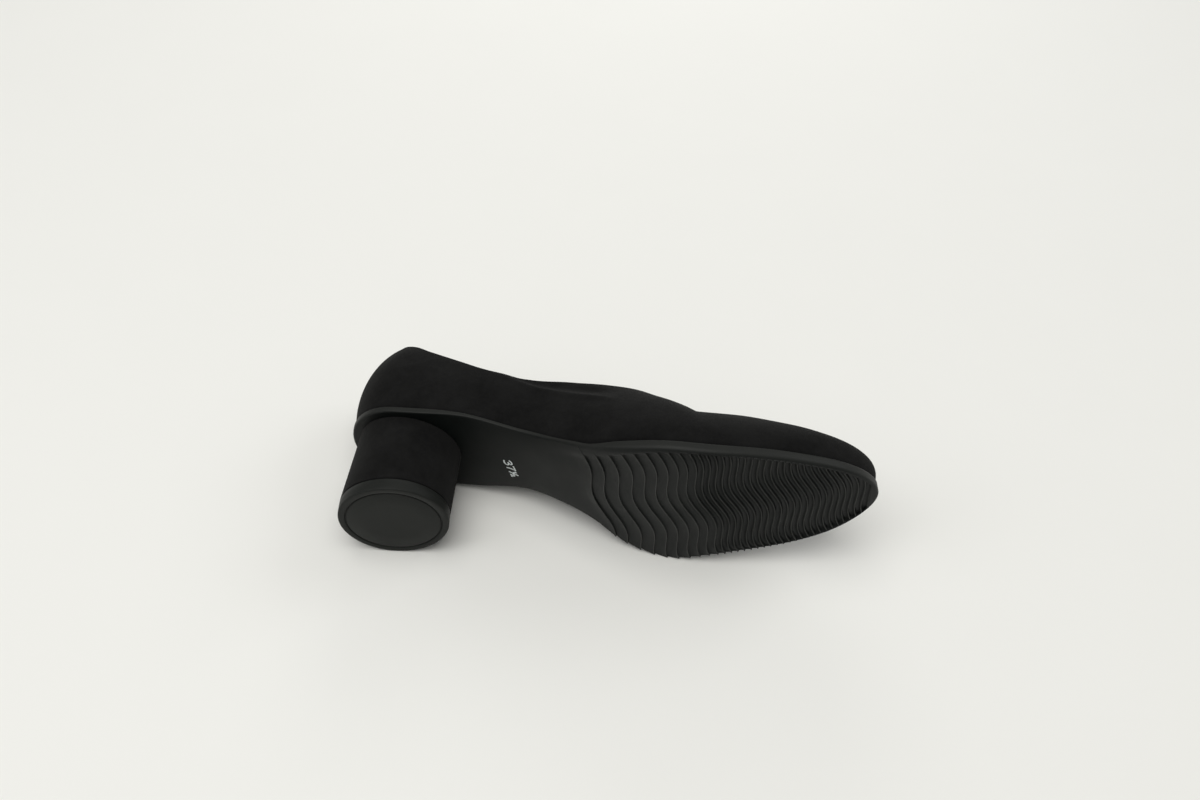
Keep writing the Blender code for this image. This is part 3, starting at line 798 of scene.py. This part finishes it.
def fold_relief(grid, side):
    """Height of the suede's soft folds over the last, at each point of the grid."""
    relief = np.zeros(grid.shape[:2])
    if side == INNER_SIDE:
        return relief
    share = (1 - np.cos(section_turns())) / 2
    level = np.linspace(0, 1, WALL_STEPS + 1)
    wall = np.linalg.norm(grid[:, -1] - grid[:, 0], axis=1)
    for fold in FOLDS:
        knots = np.array(fold["track"])
        ridge = np.interp(share, knots[:, 0], knots[:, 1])
        ends = ease((share - knots[0, 0]) / fold["fade"]) * ease((knots[-1, 0] - share) / fold["fade"])
        off = (level[None, :] - ridge[:, None]) * wall[:, None]
        relief += fold["height"] * ends[:, None] * np.exp(-((off / fold["spread"]) ** 2))
    return relief


def dressed_surface(side):
    """The suede's outer face and its normals, with the folds laid on the last."""
    grid = last_surface(side)
    normal = outward(grid, side)
    return grid + fold_relief(grid, side)[:, :, None] * normal, normal


def on_sole(place, lift):
    """Point in plan, raised to the sole's top face plus the seat gap and the lift."""
    x, y = (float(value) for value in place[:2])
    return np.array([x, y, float(sole_top(x)) + SEAT_GAP + lift])


def plan_line(side, inset):
    """Points in plan along one side of the outline, at the upper's sections."""
    return np.stack(outline(section_turns(), side, inset)[:2], axis=1)


def rim_roll(outer, inner, rise, steps):
    """Half round from the outer face over the top edge to the inner face."""
    middle = (outer + inner) / 2
    across = (outer - inner) / 2
    reach = np.linalg.norm(across)
    return [
        middle + across * math.cos(turn) + rise * reach * RIM_HEIGHT * math.sin(turn)
        for turn in np.linspace(0, math.pi, steps + 1)[1:-1]
    ]


def edge_rise(grid, k):
    """Direction in which the wall leaves the top line at a section."""
    rise = grid[k, -1] - grid[k, -2]
    if k == QUARTER_STEPS:
        rise = np.array(THROAT_EDGE)
    return rise / np.linalg.norm(rise)


def make_suede_upper(sizes, surface):
    """Suede skin from the turned-in margin up to the folded top edge and down its back."""
    form = Builder()
    for side in (OUTER_SIDE, INNER_SIDE):
        outer, normal = dressed_surface(side)
        back = outer - sizes.suede * normal
        fold_end = outer - WALL * normal
        corner = plan_line(side, FEATHER_INSET + EDGE_ROUNDING)
        inside = plan_line(side, FEATHER_INSET + sizes.suede)
        margin = plan_line(side, FEATHER_INSET + LASTING_MARGIN)
        drop = max(2, round(WALL_STEPS * FOLD_DROP))
        sections = []
        for k in range(len(outer)):
            rise = edge_rise(outer, k)
            roll = rim_roll(outer[k, -1], fold_end[k, -1], rise, RIM_STEPS)
            turned = [fold_end[k, -1 - n] for n in range(drop)]
            tuck = [back[k, -1 - n] for n in range(drop - 1, WALL_STEPS)]
            sections.append(
                {
                    "outside": [on_sole(margin[k], 0.0), on_sole(corner[k], 0.0), *outer[k]],
                    "rim": [outer[k, -1], *roll, *turned, tuck[0]],
                    "ridge": [back[k, -1 - n] for n in range(drop)],
                    "inside": [*tuck, on_sole(inside[k], sizes.suede), on_sole(margin[k], sizes.suede)],
                }
            )
        for k in range(len(sections) - 1):
            here, ahead = sections[k], sections[k + 1]
            form.strip(here["outside"], ahead["outside"])
            form.strip(here["inside"], ahead["inside"])
            form.face(here["inside"][-1], here["outside"][0], ahead["outside"][0], ahead["inside"][-1])
            if k < QUARTER_STEPS:
                form.strip(here["rim"], ahead["rim"])
            else:
                form.strip(here["ridge"], ahead["ridge"])
    # One face closes the fold's end at the throat, on the inner side alone: the sides share only the
    # rolled rim there, so the outer side's fold end stays open by about a millimetre
    throat = sections[QUARTER_STEPS]
    form.face(*throat["rim"], *reversed(throat["ridge"]))
    return form.make("suede_upper", surface, "upper", sharp=50)


def make_lining(sizes, surface):
    """Leather lining inside the suede, from just under the folded edge to the insole."""
    form = Builder()
    for side in (OUTER_SIDE, INNER_SIDE):
        outer, normal = dressed_surface(side)
        front = outer - (WALL - sizes.lining) * normal
        back = outer - WALL * normal
        inside = plan_line(side, FEATHER_INSET + INSIDE_LEAN * WALL)
        drop = max(3, round(WALL_STEPS * LINING_DROP))
        sections = []
        for k in range(len(outer)):
            last = WALL_STEPS if k > QUARTER_STEPS else WALL_STEPS - drop
            foot = on_sole(inside[k], WALL + LINING_LIFT)
            sections.append(([foot, *front[k, 1 : last + 1]], [foot, *back[k, 1 : last + 1]]))
        for k in range(len(sections) - 1):
            here, ahead = sections[k], sections[k + 1]
            count = min(len(here[0]), len(ahead[0]))
            form.strip(here[0][:count], ahead[0][:count])
            form.strip(here[1][:count], ahead[1][:count])
            if len(here[0]) < len(ahead[0]) or k < QUARTER_STEPS:
                form.face(here[0][-1], here[1][-1], ahead[1][count - 1], ahead[0][count - 1])
            if len(here[0]) < len(ahead[0]):
                for n in range(count - 1, len(ahead[0]) - 1):
                    form.face(ahead[0][n], ahead[0][n + 1], ahead[1][n + 1], ahead[1][n])
    return form.make("leather_lining", surface)


def make_sock(surface):
    """Insole board covered with the leather sock, its upper edge rounded over."""
    turns = section_turns()
    inset = FEATHER_INSET + INSIDE_LEAN * WALL + 2 * SEAT_GAP
    low = WALL + SEAT_GAP
    high = low + INSOLE_THICKNESS
    soft = SOCK_ROUNDING
    rings = []
    for turn in turns:
        edges = {}
        for side in (OUTER_SIDE, INNER_SIDE):
            edges[side] = [
                outline(turn, side, inset)[:2],
                outline(turn, side, inset + 0.3 * soft)[:2],
                outline(turn, side, inset + soft)[:2],
            ]
        outer, inner = edges[OUTER_SIDE], edges[INNER_SIDE]
        ring = [on_sole(outer[0], low), on_sole(inner[0], low), on_sole(inner[0], high - soft)]
        ring += [on_sole(inner[1], high - 0.3 * soft), on_sole(inner[2], high)]
        for share in np.linspace(0, 1, SOCK_COLUMNS)[1:-1]:
            x = inner[2][0] + (outer[2][0] - inner[2][0]) * share
            y = inner[2][1] + (outer[2][1] - inner[2][1]) * share
            ring.append(on_sole((x, y), high))
        ring += [on_sole(outer[2], high), on_sole(outer[1], high - 0.3 * soft)]
        ring.append(on_sole(outer[0], high - soft))
        rings.append(ring)
    form = Builder()
    for first, second in zip(rings, rings[1:]):
        form.strip(first, second, closed=True)
    return form.make("leather_sock", surface, "insole", sharp=60)


def tooth_places():
    """Where each tooth of the tread crosses the sole's middle line."""
    places = []
    x = FIRST_TOOTH_SHARE * SOLE_LENGTH
    while x < LAST_TOOTH_SHARE * SOLE_LENGTH:
        places.append(x)
        x += float(follow(TOOTH_PITCH, "pitch", len(places))) * TREAD_PITCH
    return places


def wave(middle, y):
    """x of the tread line that crosses the middle line at the given place."""
    share = middle / SOLE_LENGTH
    behind = ease((share - (FIRST_TOOTH_SHARE - WAVE_FADE_SHARE)) / WAVE_FADE_SHARE)
    ahead = ease((1 - share) / (1 - LAST_TOOTH_SHARE) / 2)
    drift = WAVE_DRIFT * (middle - WAVE_REFERENCE_SHARE * SOLE_LENGTH)
    phase = 2 * math.pi * ((y + drift) / WAVE_LENGTH - WAVE_START)
    return middle + behind * ahead * (WAVE_SLOPE * y + WAVE_HEIGHT * np.sin(phase))


def wave_end(middle, side):
    """Angle round the outline where a tread line reaches the sole's edge."""
    turn = float(turn_of(middle / SOLE_LENGTH))
    for _ in range(EDGE_TRIES):
        y = side * float(half_width((1 - math.cos(turn)) / 2, side))
        share = float(wave(middle, y)) / SOLE_LENGTH
        turn += EDGE_STEP * (float(turn_of(share)) - turn)
    return turn


def sole_lines():
    """Places of the sole's cross lines on its middle line, each with its depth and its share of painted
    highlight, which lies on the lips' crests.
    """
    first = FIRST_TOOTH_SHARE * SOLE_LENGTH
    deep = float(follow(TOOTH_PITCH, "deep", 1))
    lines = []
    for turn in np.linspace(0, math.pi / 2, SEAT_STEPS + 1):
        lines.append((HEEL_ROUND * (1 - math.cos(turn)), 0.0, 0.0))
    for x in np.linspace(HEEL_ROUND, first - 2 * TREAD_PITCH, SHANK_STEPS + 1)[1:]:
        rise = ease((x / first - SHANK_RISE_START) / SHANK_RISE_LENGTH)
        lines.append((float(x), deep * float(rise), 0.0))
    lines.append((first - 1.2 * TREAD_PITCH, deep * 0.80, 0.0))
    lines.append((first - LIP_FOOT, deep * 0.45, 0.0))
    lines.append((first - LIP_SHOULDER, deep * (1 - LIP_SHOULDER_HEIGHT), 0.5))
    places = tooth_places()
    places.append(places[-1] + TREAD_PITCH)
    for number, (place, following) in enumerate(zip(places, places[1:]), start=1):
        deep = float(follow(TOOTH_PITCH, "deep", number))
        for off, height in TOOTH_FALL:
            lines.append((place + off, deep * (1 - height), float(height > 0.9)))
        foot = following - LIP_FOOT
        start = lines[-1][0]
        for share in (0.5, 1.0):
            run = (foot - start) * share
            rise = min(TOOTH_RISE_TOP, TOOTH_RISE_PER_MM * run / MM)
            lines.append((start + run, deep * (1 - rise), 0.0))
        lines.append((following - LIP_SHOULDER, deep * (1 - LIP_SHOULDER_HEIGHT), 1.0))
    end = places[-1]
    for step in range(TIP_STEPS + 1):
        turn = math.pi / 2 * step / TIP_STEPS
        lines.append((end + (SOLE_LENGTH - end) * math.sin(turn), 0.0, 0.0))
    return lines


def outline_points():
    """Points round the whole sole in plan."""
    turns = np.linspace(0, math.pi, OUTLINE_POINTS)
    sides = [np.stack(outline(turns, side)[:2]) for side in (OUTER_SIDE, INNER_SIDE)]
    return np.concatenate(sides, axis=1)


SOLE_EDGE = outline_points()


def edge_distance(x, y):
    """Distance in plan from the sole's outline."""
    off_x = np.atleast_1d(x)[:, None] - SOLE_EDGE[0]
    off_y = np.atleast_1d(y)[:, None] - SOLE_EDGE[1]
    return np.hypot(off_x, off_y).min(axis=1)


def runout(x, y):
    """Share of the groove's depth that is left at each place, less where the grooves end."""
    share = np.atleast_1d(x) / SOLE_LENGTH
    outer = np.atleast_1d(y) < 0
    end = np.where(outer, follow(RIM, "end_outer", share), follow(RIM, "end_inner", share)) * MM
    kept = np.where(outer, follow(RIM, "kept_outer", share), follow(RIM, "kept_inner", share))
    kept = np.clip(kept, 0.0, 1.0)
    run = follow(RIM, "run", share) * MM
    return kept + (1 - kept) * ease((edge_distance(x, y) - end) / run)


def crown(x, y):
    """How far the shank's underside rises towards its edges."""
    share = np.asarray(x) / SOLE_LENGTH
    grow = ease((share - CROWN["start"]) / (CROWN["full"] - CROWN["start"]))
    fade = ease((CROWN["end"] - share) / (CROWN["end"] - CROWN["fade"]))
    rise = 0.0
    for side in (OUTER_SIDE, INNER_SIDE):
        off = np.clip(side * np.asarray(y) / np.maximum(half_width(share, side), MM), 0, 1)
        rise = rise + CROWN[SIDE_NAMES[side]] * off**4
    return rise * grow * fade


def dip(x):
    """How far the outer wall's top edge dips at a place along the sole."""
    off = np.asarray(x) / SOLE_LENGTH - DIP["place"]
    width = np.where(off < 0, DIP["before"], DIP["after"])
    return DIP["depth"] * np.exp(-((off / width) ** 2) * 2)


def cross_line(middle, left, right, shares):
    """Points of a tread line between its two ends on the sole's edge, at the given shares."""
    slips = [end[0] - float(wave(middle, end[1])) for end in (left, right)]
    y = left[1] + (right[1] - left[1]) * np.asarray(shares)
    x = wave(middle, y) + slips[0] + (slips[1] - slips[0]) * np.asarray(shares)
    return x, y


def make_sole(surface):
    """Unit sole with its waved, saw-toothed tread and its smooth rounded wall."""
    rings = []
    arc = np.linspace(0, math.pi / 2, ARC_POINTS)
    turns = np.linspace(0, math.pi, TREAD_COLUMNS)
    shares = EVEN_COLUMNS * turns / math.pi + (1 - EVEN_COLUMNS) * (1 - np.cos(turns)) / 2
    for middle, depth, lip in sole_lines():
        sides = {}
        for side in (OUTER_SIDE, INNER_SIDE):
            turn = wave_end(middle, side)
            share = (1 - math.cos(turn)) / 2
            reach = float(follow(RIM, "round_" + SIDE_NAMES[side], share)) * MM
            places = np.stack(outline(turn, side, reach * (1 - np.sin(arc)))[:2])
            foot = underside(places[0]) + depth * GROOVE_DEPTH * runout(*places) + crown(*places)
            x, y = (float(v) for v in places[:, -1])
            top = float(sole_top(x)) - (float(dip(x)) if side == OUTER_SIDE else 0.0)
            height = min(reach, WALL_ROUNDED * (top - float(foot[-1])))
            # Painted highlight: grows over the lower rounding as it turns into the wall, and is full on
            # the wall above, which catches the light
            painted_highlight = WALL_PAINTED_HIGHLIGHT * np.sin(arc) ** 2
            wall = list(zip(*places, foot + height * (1 - np.cos(arc)), painted_highlight))
            for share in WALL_CUTS:
                wall.append((x, y, wall[len(arc) - 1][2] * (1 - share) + top * share, WALL_PAINTED_HIGHLIGHT))
            x, y = (float(v) for v in outline(turn, side, TOP_EDGE_INSET)[:2])
            wall.append((x, y, top, WALL_PAINTED_HIGHLIGHT))
            x, y = (float(v) for v in outline(turn, side, CEMENT_INSET)[:2])
            wall.append((x, y, float(sole_top(x)) + CEMENT, 0.0))
            sides[side] = wall
        outer, inner = sides[OUTER_SIDE], sides[INNER_SIDE]
        x, y = cross_line(middle, outer[0], inner[0], shares)
        left = runout(x, y)
        z = underside(x) + depth * GROOVE_DEPTH * left + crown(x, y)
        # The lips' crests carry the painted highlight, less where the grooves run out
        ring = list(zip(x, y, z, lip * left))[:-1] + inner
        x, y = cross_line(middle, outer[-1], inner[-1], (0.75, 0.5, 0.25))
        ring += list(zip(x, y, sole_top(x) + CEMENT))
        ring += outer[:0:-1]
        rings.append(ring)
    form = Builder()
    for first, second in zip(rings, rings[1:]):
        form.strip(first, second, closed=True)
    return form.make("rubber_sole", surface, "outsole", sharp=65)


def lathe(form, profile):
    """Turns a closed profile of (radius, place, height) about the heel's upright middle line."""
    rings = []
    for radius, place, height in profile:
        ring = []
        for k in range(ROUND_STEPS):
            angle = 2 * math.pi * k / ROUND_STEPS
            y = HEEL_OFFSET + radius * math.sin(angle)
            ring.append((place + radius * math.cos(angle), y, height))
        rings.append(ring)
    for first, second in zip(rings, rings[1:]):
        form.strip(first, second, closed=True)


def make_heel_cover(sizes, surface):
    """Block heel in its suede cover, with the cover's seam down the breast."""
    low = TOP_PIECE_HEIGHT + SEAT_GAP
    rings = []
    for level in HEEL_LEVELS:
        left = max(0.0, 1 - level / HEEL_TUCK_LEVEL)
        tuck = HEEL_TUCK * (1 - math.sqrt(1 - left**2))
        ring = []
        for k in range(ROUND_STEPS):
            angle = 2 * math.pi * k / ROUND_STEPS
            reach = HEEL_RADIUS + (HEEL_NECK_LENGTH / 2 - HEEL_RADIUS) * level - tuck
            spread = HEEL_RADIUS + (HEEL_NECK_WIDTH / 2 - HEEL_RADIUS) * level - tuck
            off = math.remainder(angle, 2 * math.pi) * reach
            reach -= sizes.seam * math.exp(-((off / SEAM_WIDTH) ** 2))
            aside = (abs(off) - SEAM_RIDGE["off"]) / SEAM_RIDGE["width"]
            reach += SEAM_RIDGE["height"] * sizes.seam * math.exp(-(aside**2))
            x = HEEL_PLACE + HEEL_PITCH * level + reach * math.cos(angle)
            z = low + (float(underside(x)) - SEAT_GAP - low) * level
            ring.append((x, HEEL_OFFSET + spread * math.sin(angle), z))
        rings.append(ring)
    form = Builder()
    for first, second in zip(rings, rings[1:]):
        form.strip(first, second, closed=True)
    for ring in (rings[0], rings[-1]):
        for k in range(ROUND_STEPS // 2):
            form.face(ring[k], ring[k + 1], ring[-k - 1], ring[-k % ROUND_STEPS])
    return form.make("suede_heel_cover", surface, "heel", sharp=50)


def make_top_piece(sizes, surface):
    """Rubber top piece with its rounded rim and the ring groove in its ground face."""
    corner = TOP_PIECE_ROUNDING
    profile = [(0.0, TOP_PIECE_HEIGHT), (HEEL_RADIUS - TOP_CHAMFER, TOP_PIECE_HEIGHT)]
    profile += [(HEEL_RADIUS, TOP_PIECE_HEIGHT - TOP_CHAMFER), (HEEL_RADIUS, 0.5 * TOP_PIECE_HEIGHT)]
    for angle in np.linspace(0, math.pi / 2, ARC_POINTS):
        radius = HEEL_RADIUS - corner * (1 - math.cos(angle))
        profile.append((radius, corner * (1 - math.sin(angle))))
    half = sizes.ring / 2
    for share, depth in RING_SECTION:
        profile.append((RING_RADIUS + share * half, depth * sizes.ring_depth))
    for share, depth in reversed(RING_SECTION):
        profile.append((RING_RADIUS - share * half, depth * sizes.ring_depth))
    profile += [(0.6 * RING_RADIUS, 0.0), (0.0, 0.0)]
    form = Builder()
    lathe(form, [(radius, HEEL_PLACE, height) for radius, height in profile])
    return form.make("rubber_top_piece", surface, "top_piece", sharp=45)


def make_size_number(sizes, surface):
    """Size number printed across the waist: thin ribbons of ink on the rubber."""
    form = Builder()
    read = Vector((math.sin(SIZE_TURN), math.cos(SIZE_TURN)))
    up = Vector((math.cos(SIZE_TURN), -math.sin(SIZE_TURN)))
    half = sizes.stroke / 2
    for stroke in SIZE_STROKES:
        places = []
        for along, high in stroke:
            places.append(Vector(SIZE_PLACE) + (read * along * SIZE_SPREAD + up * high) * SIZE_HEIGHT)
        rims = []
        for k, place in enumerate(places):
            ahead = places[min(k + 1, len(places) - 1)]
            behind = places[max(k - 1, 0)]
            way = (ahead - behind).normalized()
            aside = Vector((-way.y, way.x)) * half
            if k == 0:
                place = place - way * half * STROKE_RUN_ON
            if k == len(places) - 1:
                place = place + way * half * STROKE_RUN_ON
            row = []
            for edge in (place + aside, place, place - aside):
                for lift in INK_LIFTS:
                    row.append((edge.x, edge.y, float(underside(edge.x)) + lift))
            rims.append((row[1], row[3], row[5], row[4], row[2], row[0]))
        for first, second in zip(rims, rims[1:]):
            form.strip(first, second, closed=True)
        form.face(*rims[0])
        form.face(*rims[-1])
    return form.make("size_number", surface)


def make_stage(looks, surface):
    """Pale floor, soft lights and the camera."""
    mesh = bpy.data.meshes.new("floor")
    corners = [(x * FLOOR_HALF, y * FLOOR_HALF, 0) for x, y in ((-1, -1), (1, -1), (1, 1), (-1, 1))]
    mesh.from_pydata(corners, [], [(0, 1, 2, 3)])
    mesh.materials.append(surface)
    floor = bpy.data.objects.new("floor", mesh)
    bpy.context.scene.collection.objects.link(floor)
    # Each light's name, place, aim, side, power and colour
    lamps = (
        ("soft_box_overhead", (-0.35, -0.65, 2.4), (0.0, 0.0, 0.0), 2.2, looks.overhead, "#fffefa"),
        ("soft_box_back", (0.0, 1.0, 0.5), (0.0, 0.75, 0.0), 0.6, looks.back, "#fffefa"),
        ("soft_box_left", (-1.5, -0.5, 1.2), (0.0, 0.0, 0.0), 1.1, looks.left, "#fdfeff"),
        ("soft_box_right", (1.5, 0.7, 1.4), (0.0, 0.0, 0.0), 1.1, looks.right, "#fdfeff"),
    )
    for name, place, aim, size, power, colour in lamps:
        data = bpy.data.lights.new(name, "AREA")
        data.shape = "SQUARE"
        data.size = size
        data.energy = power
        data.color = linear(colour)
        lamp = bpy.data.objects.new(name, data)
        lamp.location = place
        lamp.rotation_euler = (Vector(aim) - Vector(place)).to_track_quat("-Z", "Y").to_euler()
        bpy.context.scene.collection.objects.link(lamp)
    world = bpy.data.worlds.new("pale studio")
    bpy.context.scene.world = world
    world.use_nodes = True
    back = world.node_tree.nodes["Background"]
    back.inputs["Color"].default_value = (*linear("#fcfcfa"), 1)
    back.inputs["Strength"].default_value = looks.room
    bpy.context.scene.view_settings.view_transform = "Standard"
    data = bpy.data.cameras.new("camera")
    data.lens = looks.lens
    data.sensor_width = 36
    data.clip_start = 0.01
    camera = bpy.data.objects.new("camera", data)
    turn = Matrix((CAMERA_RIGHT, CAMERA_UP, CAMERA_BACK)).transposed().to_4x4()
    camera.matrix_world = SHOE @ Matrix.Translation(CAMERA_PLACE) @ turn
    bpy.context.scene.collection.objects.link(camera)
    bpy.context.scene.camera = camera


def size_property(name, description, millimetres):
    """Length that a user may change, shown in millimetres."""
    settings = {"name": name, "description": description, "unit": "LENGTH"}
    return FloatProperty(default=millimetres * MM, min=0.0, precision=5, **settings)


def colour_property(name, description, text):
    """Colour that a user may change, from its sRGB hex value."""
    settings = {"name": name, "description": description, "subtype": "COLOR"}
    return FloatVectorProperty(default=linear(text), size=3, min=0.0, max=1.0, **settings)


def number_property(name, description, value, **limits):
    """Plain number that a user may change, with its limits."""
    return FloatProperty(name=name, description=description, default=value, **limits)


class ShoeSizes(bpy.types.PropertyGroup):
    """Small sizes of the dressed pieces."""

    suede: size_property("Suede", "Thickness of the suede skin", 0.9)
    lining: size_property("Lining", "Thickness of the leather lining", 0.7)
    ring: size_property("Ring groove", "Width of the groove in the top piece", 0.9)
    ring_depth: size_property("Ring depth", "Depth of the groove in the top piece", 0.7)
    seam: size_property("Heel seam", "Depth of the heel cover's seam", 0.25)
    stroke: size_property("Ink stroke", "Width of the size number's strokes", 0.72)


class SuedeLooks(bpy.types.PropertyGroup):
    """Finish of the suede."""

    deep: colour_property("Deep", "Colour where the nap lies away from the light", "#0a0a0a")
    brushed: colour_property("Brushed", "Colour where the nap is brushed up", "#171717")
    cloud_size: size_property("Cloud size", "Size of the brushed patches", 16.0)
    nap: size_property("Nap", "Depth of the nap's relief", 0.16)
    sheen: number_property("Sheen", "Strength of the nap's pale edge", 0.035, min=0, max=1)


class RubberLooks(bpy.types.PropertyGroup):
    """Finish of the rubber sole, the top piece and the ink on it."""

    sole: colour_property("Sole", "Colour of the unit sole", "#0b0e0d")
    top_piece: colour_property("Top piece", "Colour of the top piece", "#1d1f1d")
    # Paler grey painted as highlight on the sole's wall and on the tread's lips
    painted_highlight: colour_property("Buffed", "Colour of the buffed wall and of the tread's lips", "#30312f")
    ink: colour_property("Ink", "Colour of the size number", "#dfe6e6")
    grit: size_property("Grit", "Depth of the mould's spark texture", 0.03)
    gloss: number_property("Gloss", "Specular level of the rubber", 0.16, min=0, max=1)


class LeatherLooks(bpy.types.PropertyGroup):
    """Finish of the lining and the sock."""

    lining: colour_property("Lining", "Colour of the lining leather", "#201f1e")
    sock: colour_property("Sock", "Colour of the leather sock", "#262524")
    grain: size_property("Grain", "Spacing of the leather's pores", 1.1)


class StageLooks(bpy.types.PropertyGroup):
    """Floor, lights and lens."""

    floor: colour_property("Floor", "Colour of the painted board", "#f2f2ef")
    overhead: number_property("Top light", "Power of the soft box above", 46, min=0)
    back: number_property("Back light", "Power of the soft box behind the shoe", 1.7, min=0)
    left: number_property("Left light", "Power of the soft box on the left", 5, min=0)
    right: number_property("Right light", "Power of the soft box on the right", 7.5, min=0)
    room: number_property("Room light", "Strength of the light all round", 0.2, min=0)
    lens: number_property("Lens", "Focal length in millimetres", 35.04, min=10)


class ShoeSettings(bpy.types.PropertyGroup):
    """All settings of the shoe."""

    sizes: PointerProperty(type=ShoeSizes)
    suede: PointerProperty(type=SuedeLooks)
    rubber: PointerProperty(type=RubberLooks)
    leather: PointerProperty(type=LeatherLooks)
    stage: PointerProperty(type=StageLooks)


class SHOE_OT_suede(bpy.types.Operator):
    """Make the suede upper and the suede heel cover"""

    bl_idname = "shoe.suede"
    bl_label = "Suede Upper and Heel"

    def execute(self, context):
        shoe = context.scene.court_shoe
        surface = napped_suede(shoe.suede)
        make_suede_upper(shoe.sizes, surface)
        make_heel_cover(shoe.sizes, surface)
        return {"FINISHED"}


class SHOE_OT_leather(bpy.types.Operator):
    """Make the leather lining and the leather sock"""

    bl_idname = "shoe.leather"
    bl_label = "Lining and Sock"

    def execute(self, context):
        shoe = context.scene.court_shoe
        looks = shoe.leather
        make_lining(shoe.sizes, lining_leather(looks, "pigskin lining, dyed black", looks.lining, 0.52))
        make_sock(lining_leather(looks, "polished sock leather", looks.sock, 0.42))
        return {"FINISHED"}


class SHOE_OT_rubber(bpy.types.Operator):
    """Make the rubber sole, the top piece and the printed size number"""

    bl_idname = "shoe.rubber"
    bl_label = "Sole and Top Piece"

    def execute(self, context):
        shoe = context.scene.court_shoe
        looks = shoe.rubber
        make_sole(moulded_rubber(looks, "moulded styrene rubber, satin", looks.sole, 0.46))
        top = moulded_rubber(looks, "moulded styrene rubber, dull", looks.top_piece, 0.56)
        make_top_piece(shoe.sizes, top)
        make_size_number(shoe.sizes, pad_printed_ink(looks))
        return {"FINISHED"}


class SHOE_OT_stage(bpy.types.Operator):
    """Make the floor, the lights and the camera"""

    bl_idname = "shoe.stage"
    bl_label = "Floor, Lights and Camera"

    def execute(self, context):
        looks = context.scene.court_shoe.stage
        make_stage(looks, painted_board(looks))
        return {"FINISHED"}


class SHOE_PT_panel(bpy.types.Panel):
    """Sizes, finishes and pieces of the shoe"""

    bl_idname = "SHOE_PT_panel"
    bl_label = "Court Shoe"
    bl_space_type = "VIEW_3D"
    bl_region_type = "UI"
    bl_category = "Court Shoe"

    def draw(self, context):
        layout = self.layout
        shoe = context.scene.court_shoe
        for group in (shoe.sizes, shoe.suede, shoe.rubber, shoe.leather, shoe.stage):
            box = layout.box()
            for name in group.__annotations__:
                box.prop(group, name)
        for operator in OPERATORS:
            layout.operator(operator.bl_idname)


OPERATORS = (SHOE_OT_stage, SHOE_OT_suede, SHOE_OT_leather, SHOE_OT_rubber)
CLASSES = (
    ShoeSizes,
    SuedeLooks,
    RubberLooks,
    LeatherLooks,
    StageLooks,
    ShoeSettings,
    *OPERATORS,
    SHOE_PT_panel,
)


def register():
    """Makes the classes and the settings known to Blender."""
    for item in CLASSES:
        bpy.utils.register_class(item)
    bpy.types.Scene.court_shoe = PointerProperty(type=ShoeSettings)


def unregister():
    """Takes them away again."""
    del bpy.types.Scene.court_shoe
    for item in reversed(CLASSES):
        bpy.utils.unregister_class(item)


def main():
    """Makes the stage and the shoe."""
    register()
    bpy.ops.shoe.stage()
    bpy.ops.shoe.suede()
    bpy.ops.shoe.leather()
    bpy.ops.shoe.rubber()


if __name__ == "__main__":
    main()
